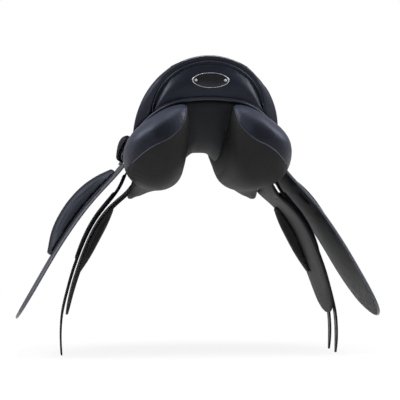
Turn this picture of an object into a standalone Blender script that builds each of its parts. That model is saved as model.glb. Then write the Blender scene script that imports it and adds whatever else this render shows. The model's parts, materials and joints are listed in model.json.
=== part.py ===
"""Dressage saddle, built as its real pieces: tree, steels, webs, seat, panels, flaps and billets.

Units are metres, +Z is up, +Y points to the horse's head and +X to its right side.
The origin lies on the centre plane, level with the lowest line of the panels.
"""

import math

import bmesh
import bpy
from mathutils import Vector
from mathutils.bvhtree import BVHTree

# Driving dimensions of the seat
SEAT_LENGTH = 0.445  # saddle nail to the middle of the cantle
NAIL_Y = 0.208
CANTLE_HEIGHT = 0.286
POMMEL_HEIGHT = 0.234
SEAT_LOW_HEIGHT = 0.142
CANTLE_HALF_WIDTH = 0.158
POMMEL_HALF_WIDTH = 0.071

# Thicknesses of the layers under the rider, from the leather down
COVER_THICKNESS = 0.003
TREE_THICKNESS = 0.011
WEB_THICKNESS = 0.0015
SPRING_THICKNESS = 0.0015
LAYER_GAP = 0.0003

# Cantle
WELT_RADIUS = 0.0024
BINDING_RADIUS = 0.0035
FACING_THICKNESS = 0.010
FACING_BULGE = 0.009
SEAM_HALF_WIDTH = 0.121
SEAM_BASE_HEIGHT = 0.163
SEAM_RISE = 0.110
SEAM_SET_BACK = 0.010  # seam behind the top of the cantle
SEAM_SWEEP = 0.048
PLATE_LENGTH = 0.079
PLATE_HEIGHT = 0.032
PLATE_THICKNESS = 0.002
PLATE_DROP = 0.042  # middle of the plate below the top of the seam
PLATE_CENTRE_HEIGHT = SEAM_BASE_HEIGHT + SEAM_RISE - PLATE_DROP
SCREW_RADIUS = 0.0027

# Flaps, skirts and what hangs below them
FLAP_THICKNESS = 0.005
FLAP_HINGE_X = 0.174
FLAP_HINGE_Z = 0.060
FLAP_REAR_Y = -0.118
FLAP_FRONT_Y = 0.165
SKIRT_THICKNESS = 0.004
SWEAT_THICKNESS = 0.0045
SWEAT_REAR_Y = -0.096
SWEAT_FRONT_Y = 0.140
BLOCK_HEIGHT = 0.038
BLOCK_WIDTH = 0.058
KNEE_HEIGHT = 0.022
BILLET_WIDTH = 0.025
BILLET_THICKNESS = 0.0038
FIT = 0.0004  # clearance between pieces that lie on each other

# Metal fittings
BAR_LENGTH = 0.074
BAR_WIDTH = 0.009
BAR_DEPTH = 0.006
BAR_STAND_OFF = 0.013
PIN_RADIUS = 0.0016
DEE_WIDTH = 0.026
DEE_WIRE = 0.0018
NAIL_RADIUS = 0.0055


def clear_scene():
    for item in list(bpy.data.objects):
        bpy.data.objects.remove(item, do_unlink=True)


def make_material(name, colour, roughness, metallic=0.0):
    material = bpy.data.materials.new(name)
    material.use_nodes = True
    shader = material.node_tree.nodes["Principled BSDF"]
    shader.inputs["Base Color"].default_value = (*colour, 1.0)
    shader.inputs["Roughness"].default_value = roughness
    shader.inputs["Metallic"].default_value = metallic
    material.diffuse_color = (*colour, 1.0)
    return material


def through(knots, x):
    """Smooth curve through (x, value) knots, read at x; the ends run flat outside the knots."""
    if x <= knots[0][0]:
        return knots[0][1]
    if x >= knots[-1][0]:
        return knots[-1][1]
    k = 0
    while x > knots[k + 1][0]:
        k += 1
    x0, v0 = knots[k]
    x1, v1 = knots[k + 1]
    slope = (v1 - v0) / (x1 - x0)
    before = slope
    after = slope
    if k > 0:
        before = (v1 - knots[k - 1][1]) / (x1 - knots[k - 1][0])
    if k + 2 < len(knots):
        after = (knots[k + 2][1] - v0) / (knots[k + 2][0] - x0)
    h = x1 - x0
    u = (x - x0) / h
    rise = u * u * (3 - 2 * u)
    return (v0 * (1 - rise) + v1 * rise
            + h * before * u * (1 - u) ** 2
            - h * after * u * u * (1 - u))


def smooth_path(points, steps, closed=False):
    """Catmull-Rom curve through the points, with the given number of steps between two of them."""
    count = len(points)
    spans = count if closed else count - 1
    path = []
    for k in range(spans):
        p1 = points[k]
        p2 = points[(k + 1) % count]
        p0 = points[(k - 1) % count] if closed or k > 0 else p1
        p3 = points[(k + 2) % count] if closed or k + 2 < count else p2
        for step in range(steps):
            u = step / steps
            path.append(p1 * 1.0 + (p2 - p0) * (0.5 * u)
                        + (p0 * 2 - p1 * 5 + p2 * 4 - p3) * (0.5 * u * u)
                        + (p1 * 3 - p0 - p2 * 3 + p3) * (0.5 * u ** 3))
    if not closed:
        path.append(points[-1].copy())
    return path


def add_object(name, verts, faces, material, smooth_angle=35.0):
    mesh = bpy.data.meshes.new(name)
    mesh.from_pydata([tuple(v) for v in verts], [], faces)
    shaped = bmesh.new()
    shaped.from_mesh(mesh)
    if shaped.calc_volume(signed=True) < 0:
        bmesh.ops.reverse_faces(shaped, faces=shaped.faces)
    shaped.to_mesh(mesh)
    shaped.free()
    mesh.materials.append(material)
    mesh.shade_smooth()
    mesh.set_sharp_from_angle(angle=math.radians(smooth_angle))
    item = bpy.data.objects.new(name, mesh)
    bpy.context.scene.collection.objects.link(item)
    return item


def slab(name, outer, inner, material, kept=None):
    """Closed sheet between two equal grids of points; kept(i, j) says which cells are there."""
    rows = len(outer)
    columns = len(outer[0])
    used = {}
    verts = []
    faces = []

    def vertex(layer, i, j):
        key = (layer, i, j)
        if key not in used:
            used[key] = len(verts)
            verts.append((outer if layer == 0 else inner)[i][j])
        return used[key]

    def there(i, j):
        inside = 0 <= i < rows - 1 and 0 <= j < columns - 1
        return inside and (kept is None or kept(i, j))

    for i in range(rows - 1):
        for j in range(columns - 1):
            if not there(i, j):
                continue
            corners = [(i, j), (i + 1, j), (i + 1, j + 1), (i, j + 1)]
            for layer in (0, 1):
                a, b, c, d = [vertex(layer, *corner) for corner in corners]
                faces.append((a, b, c) if layer == 0 else (c, b, a))
                faces.append((a, c, d) if layer == 0 else (d, c, a))
            sides = [((i, j), (i, j + 1), there(i - 1, j)), ((i + 1, j + 1), (i + 1, j), there(i + 1, j)),
                     ((i + 1, j), (i, j), there(i, j - 1)), ((i, j + 1), (i + 1, j + 1), there(i, j + 1))]
            for start, end, neighbour in sides:
                if not neighbour:
                    p, q = vertex(0, *start), vertex(0, *end)
                    r, s = vertex(1, *end), vertex(1, *start)
                    faces.append((p, q, r))
                    faces.append((p, r, s))
    return add_object(name, verts, faces, material)


def loft(name, rings, material, smooth_angle=35.0):
    """Closed solid through equal rings of points, with flat caps at both ends."""
    size = len(rings[0])
    verts = [point for ring in rings for point in ring]
    faces = []
    for i in range(len(rings) - 1):
        for j in range(size):
            a = i * size + j
            b = i * size + (j + 1) % size
            faces.append((a, b, b + size))
            faces.append((a, b + size, a + size))
    for first, flip in ((0, True), ((len(rings) - 1) * size, False)):
        centre = len(verts)
        verts.append(sum(rings[0 if flip else -1], Vector()) / size)
        for j in range(size):
            a = first + j
            b = first + (j + 1) % size
            faces.append((b, a, centre) if flip else (a, b, centre))
    return add_object(name, verts, faces, material, smooth_angle)


def tube(name, path, radius, sides, material, up=Vector((0, 0, 1))):
    """Round bar along a path, its rings square to the path."""
    rings = []
    for k, point in enumerate(path):
        ahead = path[min(k + 1, len(path) - 1)] - path[max(k - 1, 0)]
        side = ahead.cross(up).normalized()
        top = side.cross(ahead).normalized()
        ring = []
        for j in range(sides):
            turn = 2 * math.pi * j / sides
            ring.append(point + side * (radius * math.cos(turn)) + top * (radius * math.sin(turn)))
        rings.append(ring)
    return loft(name, rings, material)


def mirrored(grid, side):
    """The same grid on the right side for side 1, on the left for side -1."""
    return [[Vector((point.x * side, point.y, point.z)) for point in row] for row in grid]


def body_empty(name, place):
    """Parent for a moving piece, on its joint's axis."""
    empty = bpy.data.objects.new(name, None)
    empty.location = place
    bpy.context.scene.collection.objects.link(empty)
    return empty


def hang_on(item, empty):
    item.parent = empty
    item.matrix_parent_inverse = empty.matrix_world.inverted()


# Seat: each row is (y, height) on the centre line, half width, then (y, height) at the edge, and
# the crown, 1 for an arch and less for a flatter top. The core rows lie under the tree.
POMMEL_Y = NAIL_Y + 0.020
CANTLE_Y = NAIL_Y - SEAT_LENGTH
SEAM_REAR_Y = CANTLE_Y - SEAM_SET_BACK
DRAWN_CANTLE_Y = -0.237  # where the tables below put the top of the cantle


def lengthwise(y):
    """Place along the saddle: behind the middle of the seat it follows the seat's length."""
    return y if y > 0 else y * CANTLE_Y / DRAWN_CANTLE_Y


EDGE_FRONT = (0.078, 0.195, 0.117)
EDGE_REAR = (0.146, lengthwise(-0.080), 0.112)


def edge_point(y):
    """Straight lower edge of the seat's side, where the skirt bends: x and height at y."""
    share = (y - EDGE_FRONT[1]) / (EDGE_REAR[1] - EDGE_FRONT[1])
    return tuple(a + (b - a) * share for a, b in zip(EDGE_FRONT, EDGE_REAR))


def straight_row(y, height, y_edge, crown):
    x, y_edge, z = edge_point(lengthwise(y_edge))
    return (lengthwise(y), height, x, y_edge, z, crown)


SEAT_ROWS = [
    (POMMEL_Y, POMMEL_HEIGHT - 0.044, POMMEL_HALF_WIDTH - 0.010, 0.214, 0.130, 1.0),
    (POMMEL_Y - 0.002, POMMEL_HEIGHT - 0.020, POMMEL_HALF_WIDTH, 0.206, 0.126, 0.95),
    straight_row(POMMEL_Y - 0.014, POMMEL_HEIGHT - 0.005, 0.196, 0.9),
    straight_row(POMMEL_Y - 0.038, POMMEL_HEIGHT, 0.178, 0.85),
    straight_row(0.155, POMMEL_HEIGHT - 0.012, 0.148, 0.85),
    straight_row(0.115, POMMEL_HEIGHT - 0.038, 0.112, 0.8),
    straight_row(0.075, SEAT_LOW_HEIGHT + 0.029, 0.074, 0.7),
    straight_row(0.035, SEAT_LOW_HEIGHT + 0.009, 0.036, 0.6),
    straight_row(-0.010, SEAT_LOW_HEIGHT, -0.006, 0.55),
    straight_row(-0.055, SEAT_LOW_HEIGHT + 0.005, -0.045, 0.55),
    straight_row(-0.100, SEAT_LOW_HEIGHT + 0.022, -0.078, 0.6),
    straight_row(-0.145, SEAT_LOW_HEIGHT + 0.053, -0.106, 0.75),
    (lengthwise(-0.188), CANTLE_HEIGHT - 0.049, CANTLE_HALF_WIDTH, lengthwise(-0.131), 0.115, 0.88),
    (CANTLE_Y + 0.015, CANTLE_HEIGHT - 0.010, CANTLE_HALF_WIDTH + 0.001, lengthwise(-0.150), 0.119, 1.0),
    (CANTLE_Y, CANTLE_HEIGHT, CANTLE_HALF_WIDTH - 0.001, lengthwise(-0.164), 0.128, 1.05),
    (CANTLE_Y - 0.012, CANTLE_HEIGHT - 0.004, SEAM_HALF_WIDTH + 0.021, lengthwise(-0.181), 0.147, 1.06),
    (SEAM_REAR_Y, SEAM_BASE_HEIGHT + SEAM_RISE + 0.002, SEAM_HALF_WIDTH + 0.003,
     SEAM_REAR_Y + SEAM_SWEEP, SEAM_BASE_HEIGHT, 1.0),
]
CORE_TABLE = [
    (0.205, 0.160, 0.044, 0.198, 0.112, 1.0), (0.203, 0.166, 0.047, 0.194, 0.111, 1.0),
    (0.197, 0.172, 0.050, 0.187, 0.109, 0.9), (0.180, 0.172, 0.053, 0.171, 0.106, 0.85),
    (0.150, 0.163, 0.058, 0.145, 0.101, 0.85), (0.113, 0.142, 0.066, 0.111, 0.095, 0.8),
    (0.074, 0.116, 0.074, 0.074, 0.090, 0.7), (0.035, 0.098, 0.083, 0.036, 0.085, 0.6),
    (-0.009, 0.091, 0.095, -0.006, 0.083, 0.55), (-0.052, 0.094, 0.107, -0.044, 0.085, 0.55),
    (-0.093, 0.108, 0.118, -0.074, 0.091, 0.6), (-0.131, 0.135, 0.127, -0.099, 0.101, 0.75),
    (-0.163, 0.172, 0.133, -0.118, 0.112, 0.95), (-0.183, 0.205, 0.134, -0.132, 0.122, 1.0),
    (-0.193, 0.222, 0.131, -0.146, 0.130, 1.0), (-0.202, 0.226, 0.117, -0.163, 0.137, 1.0),
    (-0.208, 0.224, 0.102, -0.182, 0.143, 1.0),
]
CORE_ROWS = [(lengthwise(y), height, half_width, lengthwise(y_edge), edge_height, crown)
             for y, height, half_width, y_edge, edge_height, crown in CORE_TABLE]
SEAT_COLUMNS = 18
CLOSED_ROWS = range(1, 15)  # rows that the foam and the tree reach


def row_points(row):
    y, height, half_width, y_edge, edge_height, crown = row
    points = []
    for j in range(SEAT_COLUMNS + 1):
        turn = (2 * j / SEAT_COLUMNS - 1) * math.pi / 2
        drop = max(0.0, math.cos(turn))
        points.append(Vector((half_width * math.sin(turn),
                              y_edge + (y - y_edge) * drop,
                              edge_height + (height - edge_height) * drop ** crown)))
    return points


SEAT_TOP = [row_points(row) for row in SEAT_ROWS]
SEAT_CORE = [row_points(row) for row in CORE_ROWS]


def below_top(i, j, depth):
    top, core = SEAT_TOP[i][j], SEAT_CORE[i][j]
    return top + (core - top).normalized() * depth


def above_core(i, j, height):
    top, core = SEAT_TOP[i][j], SEAT_CORE[i][j]
    return core + (top - core).normalized() * height


def layer(name, upper, lower, rows, columns, material, kept=None):
    outer = [[upper(i, j) for j in columns] for i in rows]
    inner = [[lower(i, j) for j in columns] for i in rows]
    return slab(name, outer, inner, material, kept)


# Heights of the layers over the core, from the springs up
TREE_BASE = SPRING_THICKNESS + LAYER_GAP
BELLY_BASE = TREE_BASE + TREE_THICKNESS + LAYER_GAP
WEB_BASE = BELLY_BASE + WEB_THICKNESS + LAYER_GAP
FOAM_BASE = WEB_BASE + WEB_THICKNESS + LAYER_GAP
ALL_COLUMNS = range(SEAT_COLUMNS + 1)


def build_seat(leather, foam, wood, web, steel):
    layer("seat_cover", lambda i, j: below_top(i, j, 0.0), lambda i, j: below_top(i, j, COVER_THICKNESS),
          range(len(SEAT_ROWS)), ALL_COLUMNS, leather)
    layer("seat_foam", lambda i, j: below_top(i, j, COVER_THICKNESS + LAYER_GAP),
          lambda i, j: above_core(i, j, FOAM_BASE), CLOSED_ROWS, range(1, SEAT_COLUMNS), foam)
    layer("seat_web", lambda i, j: above_core(i, j, WEB_BASE + WEB_THICKNESS),
          lambda i, j: above_core(i, j, WEB_BASE), range(2, 14), range(7, 12), web)
    layer("belly_web", lambda i, j: above_core(i, j, BELLY_BASE + WEB_THICKNESS),
          lambda i, j: above_core(i, j, BELLY_BASE), range(6, 10), range(2, SEAT_COLUMNS - 1), web)

    def rail(i, j):
        head_or_cantle = i < 3 or i > 9
        return head_or_cantle or j < 4 or j > SEAT_COLUMNS - 7

    layer("tree_frame", lambda i, j: above_core(i, j, TREE_BASE + TREE_THICKNESS),
          lambda i, j: above_core(i, j, TREE_BASE), CLOSED_ROWS, range(1, SEAT_COLUMNS), wood, rail)
    for suffix, first in (("l", 3), ("r", SEAT_COLUMNS - 4)):
        layer("spring_strip_" + suffix, lambda i, j: above_core(i, j, SPRING_THICKNESS),
              lambda i, j: above_core(i, j, 0.0), range(3, 13), range(first, first + 2), steel)


def seam_point(turn, inset=0.0):
    """Point of the seam between the cantle's rim and its facing."""
    return Vector(((SEAM_HALF_WIDTH - inset) * math.sin(turn),
                   SEAM_REAR_Y + SEAM_SWEEP * (1 - math.cos(turn)),
                   SEAM_BASE_HEIGHT + (SEAM_RISE - inset) * math.cos(turn)))


BINDING_MIDDLE_Y = -0.240
BINDING_HEIGHT = 0.193
BINDING_ROUTE = [(0.0, BINDING_MIDDLE_Y, BINDING_HEIGHT), (0.041, -0.238, 0.1905), (0.083, -0.230, 0.181),
                 (0.123, -0.212, 0.161), (0.152, -0.184, 0.131), (0.174, -0.156, 0.104),
                 (0.186, -0.136, 0.080), (0.188, -0.125, 0.064)]


def binding_path():
    right = [Vector((x, lengthwise(y), z)) for x, y, z in BINDING_ROUTE]
    left = [Vector((-p.x, p.y, p.z)) for p in reversed(right[1:])]
    return smooth_path(left + right, 3)


# Panel sections, right side: y, then eight (x, z) points from the inner top round the outside
PANEL_TABLE = [
    (-0.280, ((0.088, 0.140), (0.102, 0.139), (0.118, 0.130), (0.124, 0.120),
              (0.120, 0.108), (0.106, 0.104), (0.092, 0.110), (0.085, 0.125))),
    (-0.265, ((0.056, 0.166), (0.096, 0.164), (0.140, 0.130), (0.156, 0.106),
              (0.144, 0.084), (0.108, 0.076), (0.074, 0.090), (0.054, 0.126))),
    (-0.240, ((0.049, 0.180), (0.092, 0.1765), (0.154, 0.134), (0.174, 0.096),
              (0.158, 0.060), (0.110, 0.046), (0.066, 0.066), (0.046, 0.116))),
    (-0.200, ((0.047, 0.156), (0.100, 0.157), (0.160, 0.122), (0.184, 0.080),
              (0.166, 0.033), (0.110, 0.017), (0.064, 0.040), (0.044, 0.094))),
    (-0.150, ((0.046, 0.120), (0.108, 0.106), (0.164, 0.090), (0.179, 0.062),
              (0.166, 0.020), (0.108, 0.004), (0.062, 0.026), (0.043, 0.074))),
    (-0.100, ((0.044, 0.092), (0.100, 0.080), (0.144, 0.066), (0.158, 0.046),
              (0.150, 0.014), (0.104, 0.000), (0.060, 0.018), (0.042, 0.056))),
    (0.000, ((0.040, 0.075), (0.088, 0.064), (0.136, 0.052), (0.150, 0.034),
             (0.140, 0.010), (0.094, 0.002), (0.056, 0.016), (0.039, 0.046))),
    (0.050, ((0.040, 0.080), (0.084, 0.064), (0.132, 0.046), (0.149, 0.026),
             (0.139, 0.002), (0.094, 0.002), (0.056, 0.022), (0.039, 0.054))),
    (0.100, ((0.040, 0.096), (0.080, 0.070), (0.130, 0.036), (0.151, 0.012),
             (0.143, -0.010), (0.098, 0.004), (0.058, 0.036), (0.040, 0.072))),
    (0.165, ((0.040, 0.112), (0.070, 0.084), (0.118, 0.036), (0.154, -0.004),
             (0.150, -0.022), (0.106, 0.004), (0.064, 0.046), (0.042, 0.086))),
    (0.190, ((0.044, 0.108), (0.070, 0.082), (0.116, 0.036), (0.146, -0.001),
             (0.141, -0.015), (0.106, 0.010), (0.066, 0.050), (0.045, 0.088))),
    (0.202, ((0.053, 0.099), (0.073, 0.078), (0.111, 0.038), (0.132, 0.011),
             (0.129, 0.005), (0.104, 0.020), (0.070, 0.056), (0.054, 0.085))),
]
PANEL_SECTIONS = [(lengthwise(y), points) for y, points in PANEL_TABLE]
PANEL_STATIONS = [lengthwise(y) for y in (-0.280, -0.273, -0.262, -0.242, -0.215, -0.180, -0.145, -0.110, -0.070, -0.030,
                                           0.015, 0.055, 0.095, 0.130, 0.165, 0.188, 0.202)]
PANEL_RING = 16


def panel_ring(y, side, proud=0.0):
    """Panel section at y; proud moves its points out from the stuffing."""
    keys = []
    for k in range(8):
        x = through([(place, points[k][0]) for place, points in PANEL_SECTIONS], y)
        z = through([(place, points[k][1]) for place, points in PANEL_SECTIONS], y)
        keys.append(Vector((x, y, z)))
    ring = smooth_path(keys, PANEL_RING // 8, closed=True)
    if proud:
        moved = []
        for j, point in enumerate(ring):
            along = ring[(j + 1) % PANEL_RING] - ring[j - 1]
            moved.append(point + Vector((-along.z, 0, along.x)).normalized() * proud)
        ring = moved
    return [Vector((p.x * side, p.y, p.z)) for p in ring]


GUSSET_THICKNESS = 0.0015
GUSSET_COLUMNS = range(3, 9)


def build_panels(leather, skin):
    for suffix, side in (("l", -1), ("r", 1)):
        loft("panel_" + suffix, [panel_ring(y, side) for y in PANEL_STATIONS], leather)
        rows = PANEL_STATIONS[1:7]
        inner = [[panel_ring(y, side, FIT)[j] for j in GUSSET_COLUMNS] for y in rows]
        outer = [[panel_ring(y, side, FIT + GUSSET_THICKNESS)[j] for j in GUSSET_COLUMNS] for y in rows]
        slab("gusset_" + suffix, outer, inner, skin)


def surface_of(*items):
    verts = []
    faces = []
    for item in items:
        first = len(verts)
        verts += [v.co.copy() for v in item.data.vertices]
        faces += [[first + v for v in polygon.vertices] for polygon in item.data.polygons]
    return BVHTree.FromPolygons(verts, faces)


def seated(point, surface, distance):
    """The point moved straight to or from the nearest surface until it is at the distance."""
    place, normal, _, _ = surface.find_nearest(point)
    return place + normal * distance


LINING_THICKNESS = 0.0025
LINING_CEILING = [(-0.224, 0.177), (-0.200, 0.158), (-0.150, 0.129), (-0.100, 0.104), (-0.050, 0.089),
                  (0.000, 0.0855), (0.040, 0.092), (0.080, 0.108), (0.115, 0.130), (0.150, 0.152),
                  (0.190, 0.156)]
LINING_STATIONS = [lengthwise(y) for y in (-0.224, -0.210, -0.180, -0.145, -0.110, -0.070, -0.030, 0.015, 0.055, 0.095, 0.130,
                                            0.160, 0.188)]


def build_lining(leather):
    """Channel ceiling between the panels; its edges lie on the panels' inner tops."""
    upper = []
    lower = []
    for y in LINING_STATIONS:
        ceiling = through([(lengthwise(place), z) for place, z in LINING_CEILING], y)
        keys = panel_ring(y, 1)
        edge = keys[0]
        shape = [(edge.x, edge.z + FIT + 0.0004), (edge.x - 0.003, edge.z + 0.45 * (ceiling - edge.z) + 0.001),
                 (0.026, ceiling - 0.002), (0.0, ceiling)]
        right = [Vector((x, y, z)) for x, z in shape]
        row = [Vector((-p.x, p.y, p.z)) for p in right] + right[-2::-1]
        lower.append(row)
        upper.append([p + Vector((0, 0, LINING_THICKNESS)) for p in row])
    slab("gullet_lining", upper, lower, leather)


def over_path(path, x, distance):
    """Point at x, the distance above the path, square to its run."""
    k = 0
    while k < len(path) - 2 and path[k + 1].x < x:
        k += 1
    a, b = path[k], path[k + 1]
    foot = a.lerp(b, (x - a.x) / (b.x - a.x))
    run = (b - a).normalized()
    return foot + Vector((-run.z, 0, run.x)).normalized() * distance


def build_cantle(leather, panels):
    surface = surface_of(*panels)
    path = []
    for point in binding_path():
        _, _, _, distance = surface.find_nearest(point)
        close = abs(point.x) > 0.052
        path.append(seated(point, surface, BINDING_RADIUS + 2 * FIT) if close else point)
    path = smooth_path(path[::2] if len(path) % 2 else path, 2)
    tube("panel_binding", path, BINDING_RADIUS, 8, leather)

    turns = [math.radians(-84 + 168 * j / 20) for j in range(21)]
    outer = []
    inner = []
    base = []
    for turn in turns:
        base.append(over_path(path, seam_point(turn, 0.006).x, BINDING_RADIUS + 0.0014))
    for k in range(7):
        share = k / 6
        outer_row = []
        inner_row = []
        for turn, foot in zip(turns, base):
            top = seam_point(turn, 0.006)
            point = foot.lerp(top, share)
            swell = FACING_BULGE * math.sin(math.pi * share) * max(0.0, math.cos(turn)) ** 0.5
            outer_row.append(point + Vector((0, -swell, 0)))
            inner_row.append(point + Vector((0, FACING_THICKNESS * (0.4 + 0.6 * math.sin(math.pi * share)), 0)))
        outer.append(outer_row)
        inner.append(inner_row)
    facing = slab("cantle_facing", outer, inner, leather)
    welt = [seam_point(math.radians(-82 + 164 * k / 32), 0.0022) + Vector((0, -0.0004, 0)) for k in range(33)]
    tube("cantle_welt", welt, WELT_RADIUS, 6, leather)
    return facing


def build_nameplate(metal, screw_metal, facing):
    """Oval plate bent to the cantle's facing, held by a screw at each end."""
    surface = surface_of(facing)

    def on_facing(x, z, proud):
        hit, _, _, _ = surface.ray_cast(Vector((x, -1.0, z)), Vector((0, 1, 0)))
        return Vector((x, hit.y - proud, z))

    def plate_point(radius, turn, proud):
        x = radius * PLATE_LENGTH / 2 * math.cos(turn)
        z = PLATE_CENTRE_HEIGHT + radius * PLATE_HEIGHT / 2 * math.sin(turn)
        return on_facing(x, z, proud)

    count = 24
    turns = [2 * math.pi * k / count for k in range(count)]
    levels = [(0.45, 0.0008), (1.0, 0.0008), (1.0, 0.0008 + PLATE_THICKNESS), (0.90, 0.0008 + PLATE_THICKNESS),
              (0.86, 0.0002 + PLATE_THICKNESS), (0.45, 0.0002 + PLATE_THICKNESS)]
    loft("nameplate", [[plate_point(radius, turn, proud) for turn in turns] for radius, proud in levels], metal)
    for suffix, side in (("l", -1), ("r", 1)):
        x = side * (PLATE_LENGTH / 2 - 0.0085)
        face = on_facing(x, PLATE_CENTRE_HEIGHT, 0.0002 + PLATE_THICKNESS + FIT).y
        rings = []
        for radius, proud in ((SCREW_RADIUS, 0.0), (SCREW_RADIUS, 0.0006), (SCREW_RADIUS * 0.6, 0.0011)):
            rings.append([Vector((x + radius * math.cos(turn), face - 0.0003 - proud,
                                  PLATE_CENTRE_HEIGHT + radius * math.sin(turn))) for turn in turns[::2]])
        loft("plate_screw_" + suffix, rings, screw_metal)


# Hanging layers: each profile is a list of (x, z) on the right side, the same along Y
FLAP_PROFILE = [(FLAP_HINGE_X, FLAP_HINGE_Z), (0.186, 0.044), (0.206, 0.022), (0.228, -0.001),
                (0.250, -0.026), (0.272, -0.054), (0.294, -0.085), (0.315, -0.117), (0.335, -0.150),
                (0.354, -0.183), (0.372, -0.214), (0.389, -0.243), (0.404, -0.268), (0.414, -0.284)]
SWEAT_PROFILE = [(0.153, 0.010), (0.163, -0.004), (0.180, -0.018), (0.198, -0.034), (0.215, -0.053),
                 (0.231, -0.076), (0.245, -0.102), (0.257, -0.130), (0.268, -0.159), (0.278, -0.188),
                 (0.287, -0.216), (0.294, -0.243), (0.299, -0.266), (0.302, -0.280)]
BILLET_PROFILE = [(0.160, 0.052), (0.166, 0.036), (0.174, 0.014), (0.187, -0.007), (0.204, -0.028),
                  (0.221, -0.048), (0.237, -0.071), (0.251, -0.097), (0.264, -0.126), (0.2745, -0.155),
                  (0.285, -0.184), (0.293, -0.214), (0.3005, -0.242), (0.306, -0.266), (0.309, -0.284),
                  (0.311, -0.312), (0.311, -0.340), (0.309, -0.368)]
OUTLINE_COLUMNS = 8


def normals_of(profile):
    """Outward side of a hanging profile, one (x, z) direction a point."""
    result = []
    for k in range(len(profile)):
        a = profile[max(k - 1, 0)]
        b = profile[min(k + 1, len(profile) - 1)]
        run = Vector((b[0] - a[0], 0, b[1] - a[1])).normalized()
        result.append(Vector((-run.z, 0, run.x)))
    return result


def profile_grid(profile, rows, edges, side, proud, columns=OUTLINE_COLUMNS):
    """Grid on a profile between the rear and front edges that edges(k) gives, standing proud."""
    directions = normals_of(profile)
    grid = []
    for k in rows:
        rear, front = edges(k)
        x, z = profile[k]
        row = []
        for j in range(columns + 1):
            y = rear + (front - rear) * j / columns
            row.append(Vector((x, y, z)) + directions[k] * (proud(k, j) if callable(proud) else proud))
        grid.append(row)
    return mirrored(grid, side)


def run_lengths(profile):
    lengths = [0.0]
    for a, b in zip(profile, profile[1:]):
        lengths.append(lengths[-1] + math.dist(a, b))
    return lengths


def rounded_edges(profile, rear, front, rear_radius, front_radius, last):
    """Edges that run straight down and round off over the last stretch of the profile."""
    lengths = run_lengths(profile)
    total = lengths[last]

    def edges(k):
        left = total - lengths[k]
        cut = [0.0, 0.0]
        for n, radius in enumerate((rear_radius, front_radius)):
            if left < radius:
                cut[n] = radius - math.sqrt(max(0.0, radius ** 2 - (radius - left) ** 2))
        return rear + cut[0] * 0.92, front - cut[1] * 0.92

    return edges


FLAP_COLUMNS = 12
SLOT_CELL = (3, 2)  # row and column of the flap that the stirrup leather's end goes through


def build_flaps(leather):
    last = len(FLAP_PROFILE) - 1
    edges = rounded_edges(FLAP_PROFILE, FLAP_REAR_Y, FLAP_FRONT_Y, 0.095, 0.150, last)
    rows = range(len(FLAP_PROFILE))
    for suffix, side in (("l", -1), ("r", 1)):
        outer = profile_grid(FLAP_PROFILE, rows, edges, side, 0.0, FLAP_COLUMNS)
        inner = profile_grid(FLAP_PROFILE, rows, edges, side, -FLAP_THICKNESS, FLAP_COLUMNS)
        slab("flap_" + suffix, outer, inner, leather, lambda i, j: (i, j) != SLOT_CELL)


def swell(share, power=0.5):
    """Rounded rise from 0 at both ends of a width to 1 in the middle."""
    return max(0.0, math.sin(math.pi * share)) ** power


def build_blocks(leather):
    """Long thigh block sewn along the flap's front."""
    rows = range(1, 9)
    columns = 6
    for suffix, side in (("l", -1), ("r", 1)):
        def edges(k):
            middle = 0.118 + 0.004 * (k - 4) - 0.0016 * (k - 4) ** 2
            half = BLOCK_WIDTH / 2 * (0.62 + 0.38 * swell((k - 0.5) / 8.5))
            return middle - half, middle + half

        def height(k, j):
            along = {1: 0.30, 2: 0.66, 3: 0.88, 4: 0.98, 5: 1.0, 6: 0.92, 7: 0.72, 8: 0.28}[k]
            across = 0.16 + 0.84 * swell(j / columns, 0.6)
            return FIT + BLOCK_HEIGHT * along * across

        base = profile_grid(FLAP_PROFILE, rows, edges, side, FIT, columns)
        top = profile_grid(FLAP_PROFILE, rows, edges, side, height, columns)
        slab("thigh_block_" + suffix, top, base, leather)


KEEPER_THICKNESS = 0.0022
KEEPER_RIM = 0.009


def build_keepers(leather):
    """Leather rim sewn round the slot that takes the end of the stirrup leather."""
    first, column = SLOT_CELL
    slot_rear = FLAP_REAR_Y + (FLAP_FRONT_Y - FLAP_REAR_Y) * column / FLAP_COLUMNS
    slot_front = FLAP_REAR_Y + (FLAP_FRONT_Y - FLAP_REAR_Y) * (column + 1) / FLAP_COLUMNS
    places = [slot_rear - KEEPER_RIM, slot_rear + 0.002, slot_front - 0.002, slot_front + KEEPER_RIM]
    share = KEEPER_RIM / math.dist(FLAP_PROFILE[first], FLAP_PROFILE[first - 1])

    def rim_grid(side, proud):
        rows = profile_grid(FLAP_PROFILE, range(first - 1, first + 3), lambda k: (0.0, 1.0), side, proud, 3)
        rows[0] = [a.lerp(b, share) for a, b in zip(rows[1], rows[0])]
        rows[3] = [a.lerp(b, share) for a, b in zip(rows[2], rows[3])]
        for row in rows:
            for point, y in zip(row, places):
                point.y = y
        return rows

    for suffix, side in (("l", -1), ("r", 1)):
        slab("keeper_" + suffix, rim_grid(side, FIT + KEEPER_THICKNESS), rim_grid(side, FIT), leather,
             lambda i, j: (i, j) != (1, 1))


SWEAT_TOP = [(-0.096, 0.018), (0.020, 0.016), (0.060, 0.012), (0.100, 0.005), (0.140, 0.000)]


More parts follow.
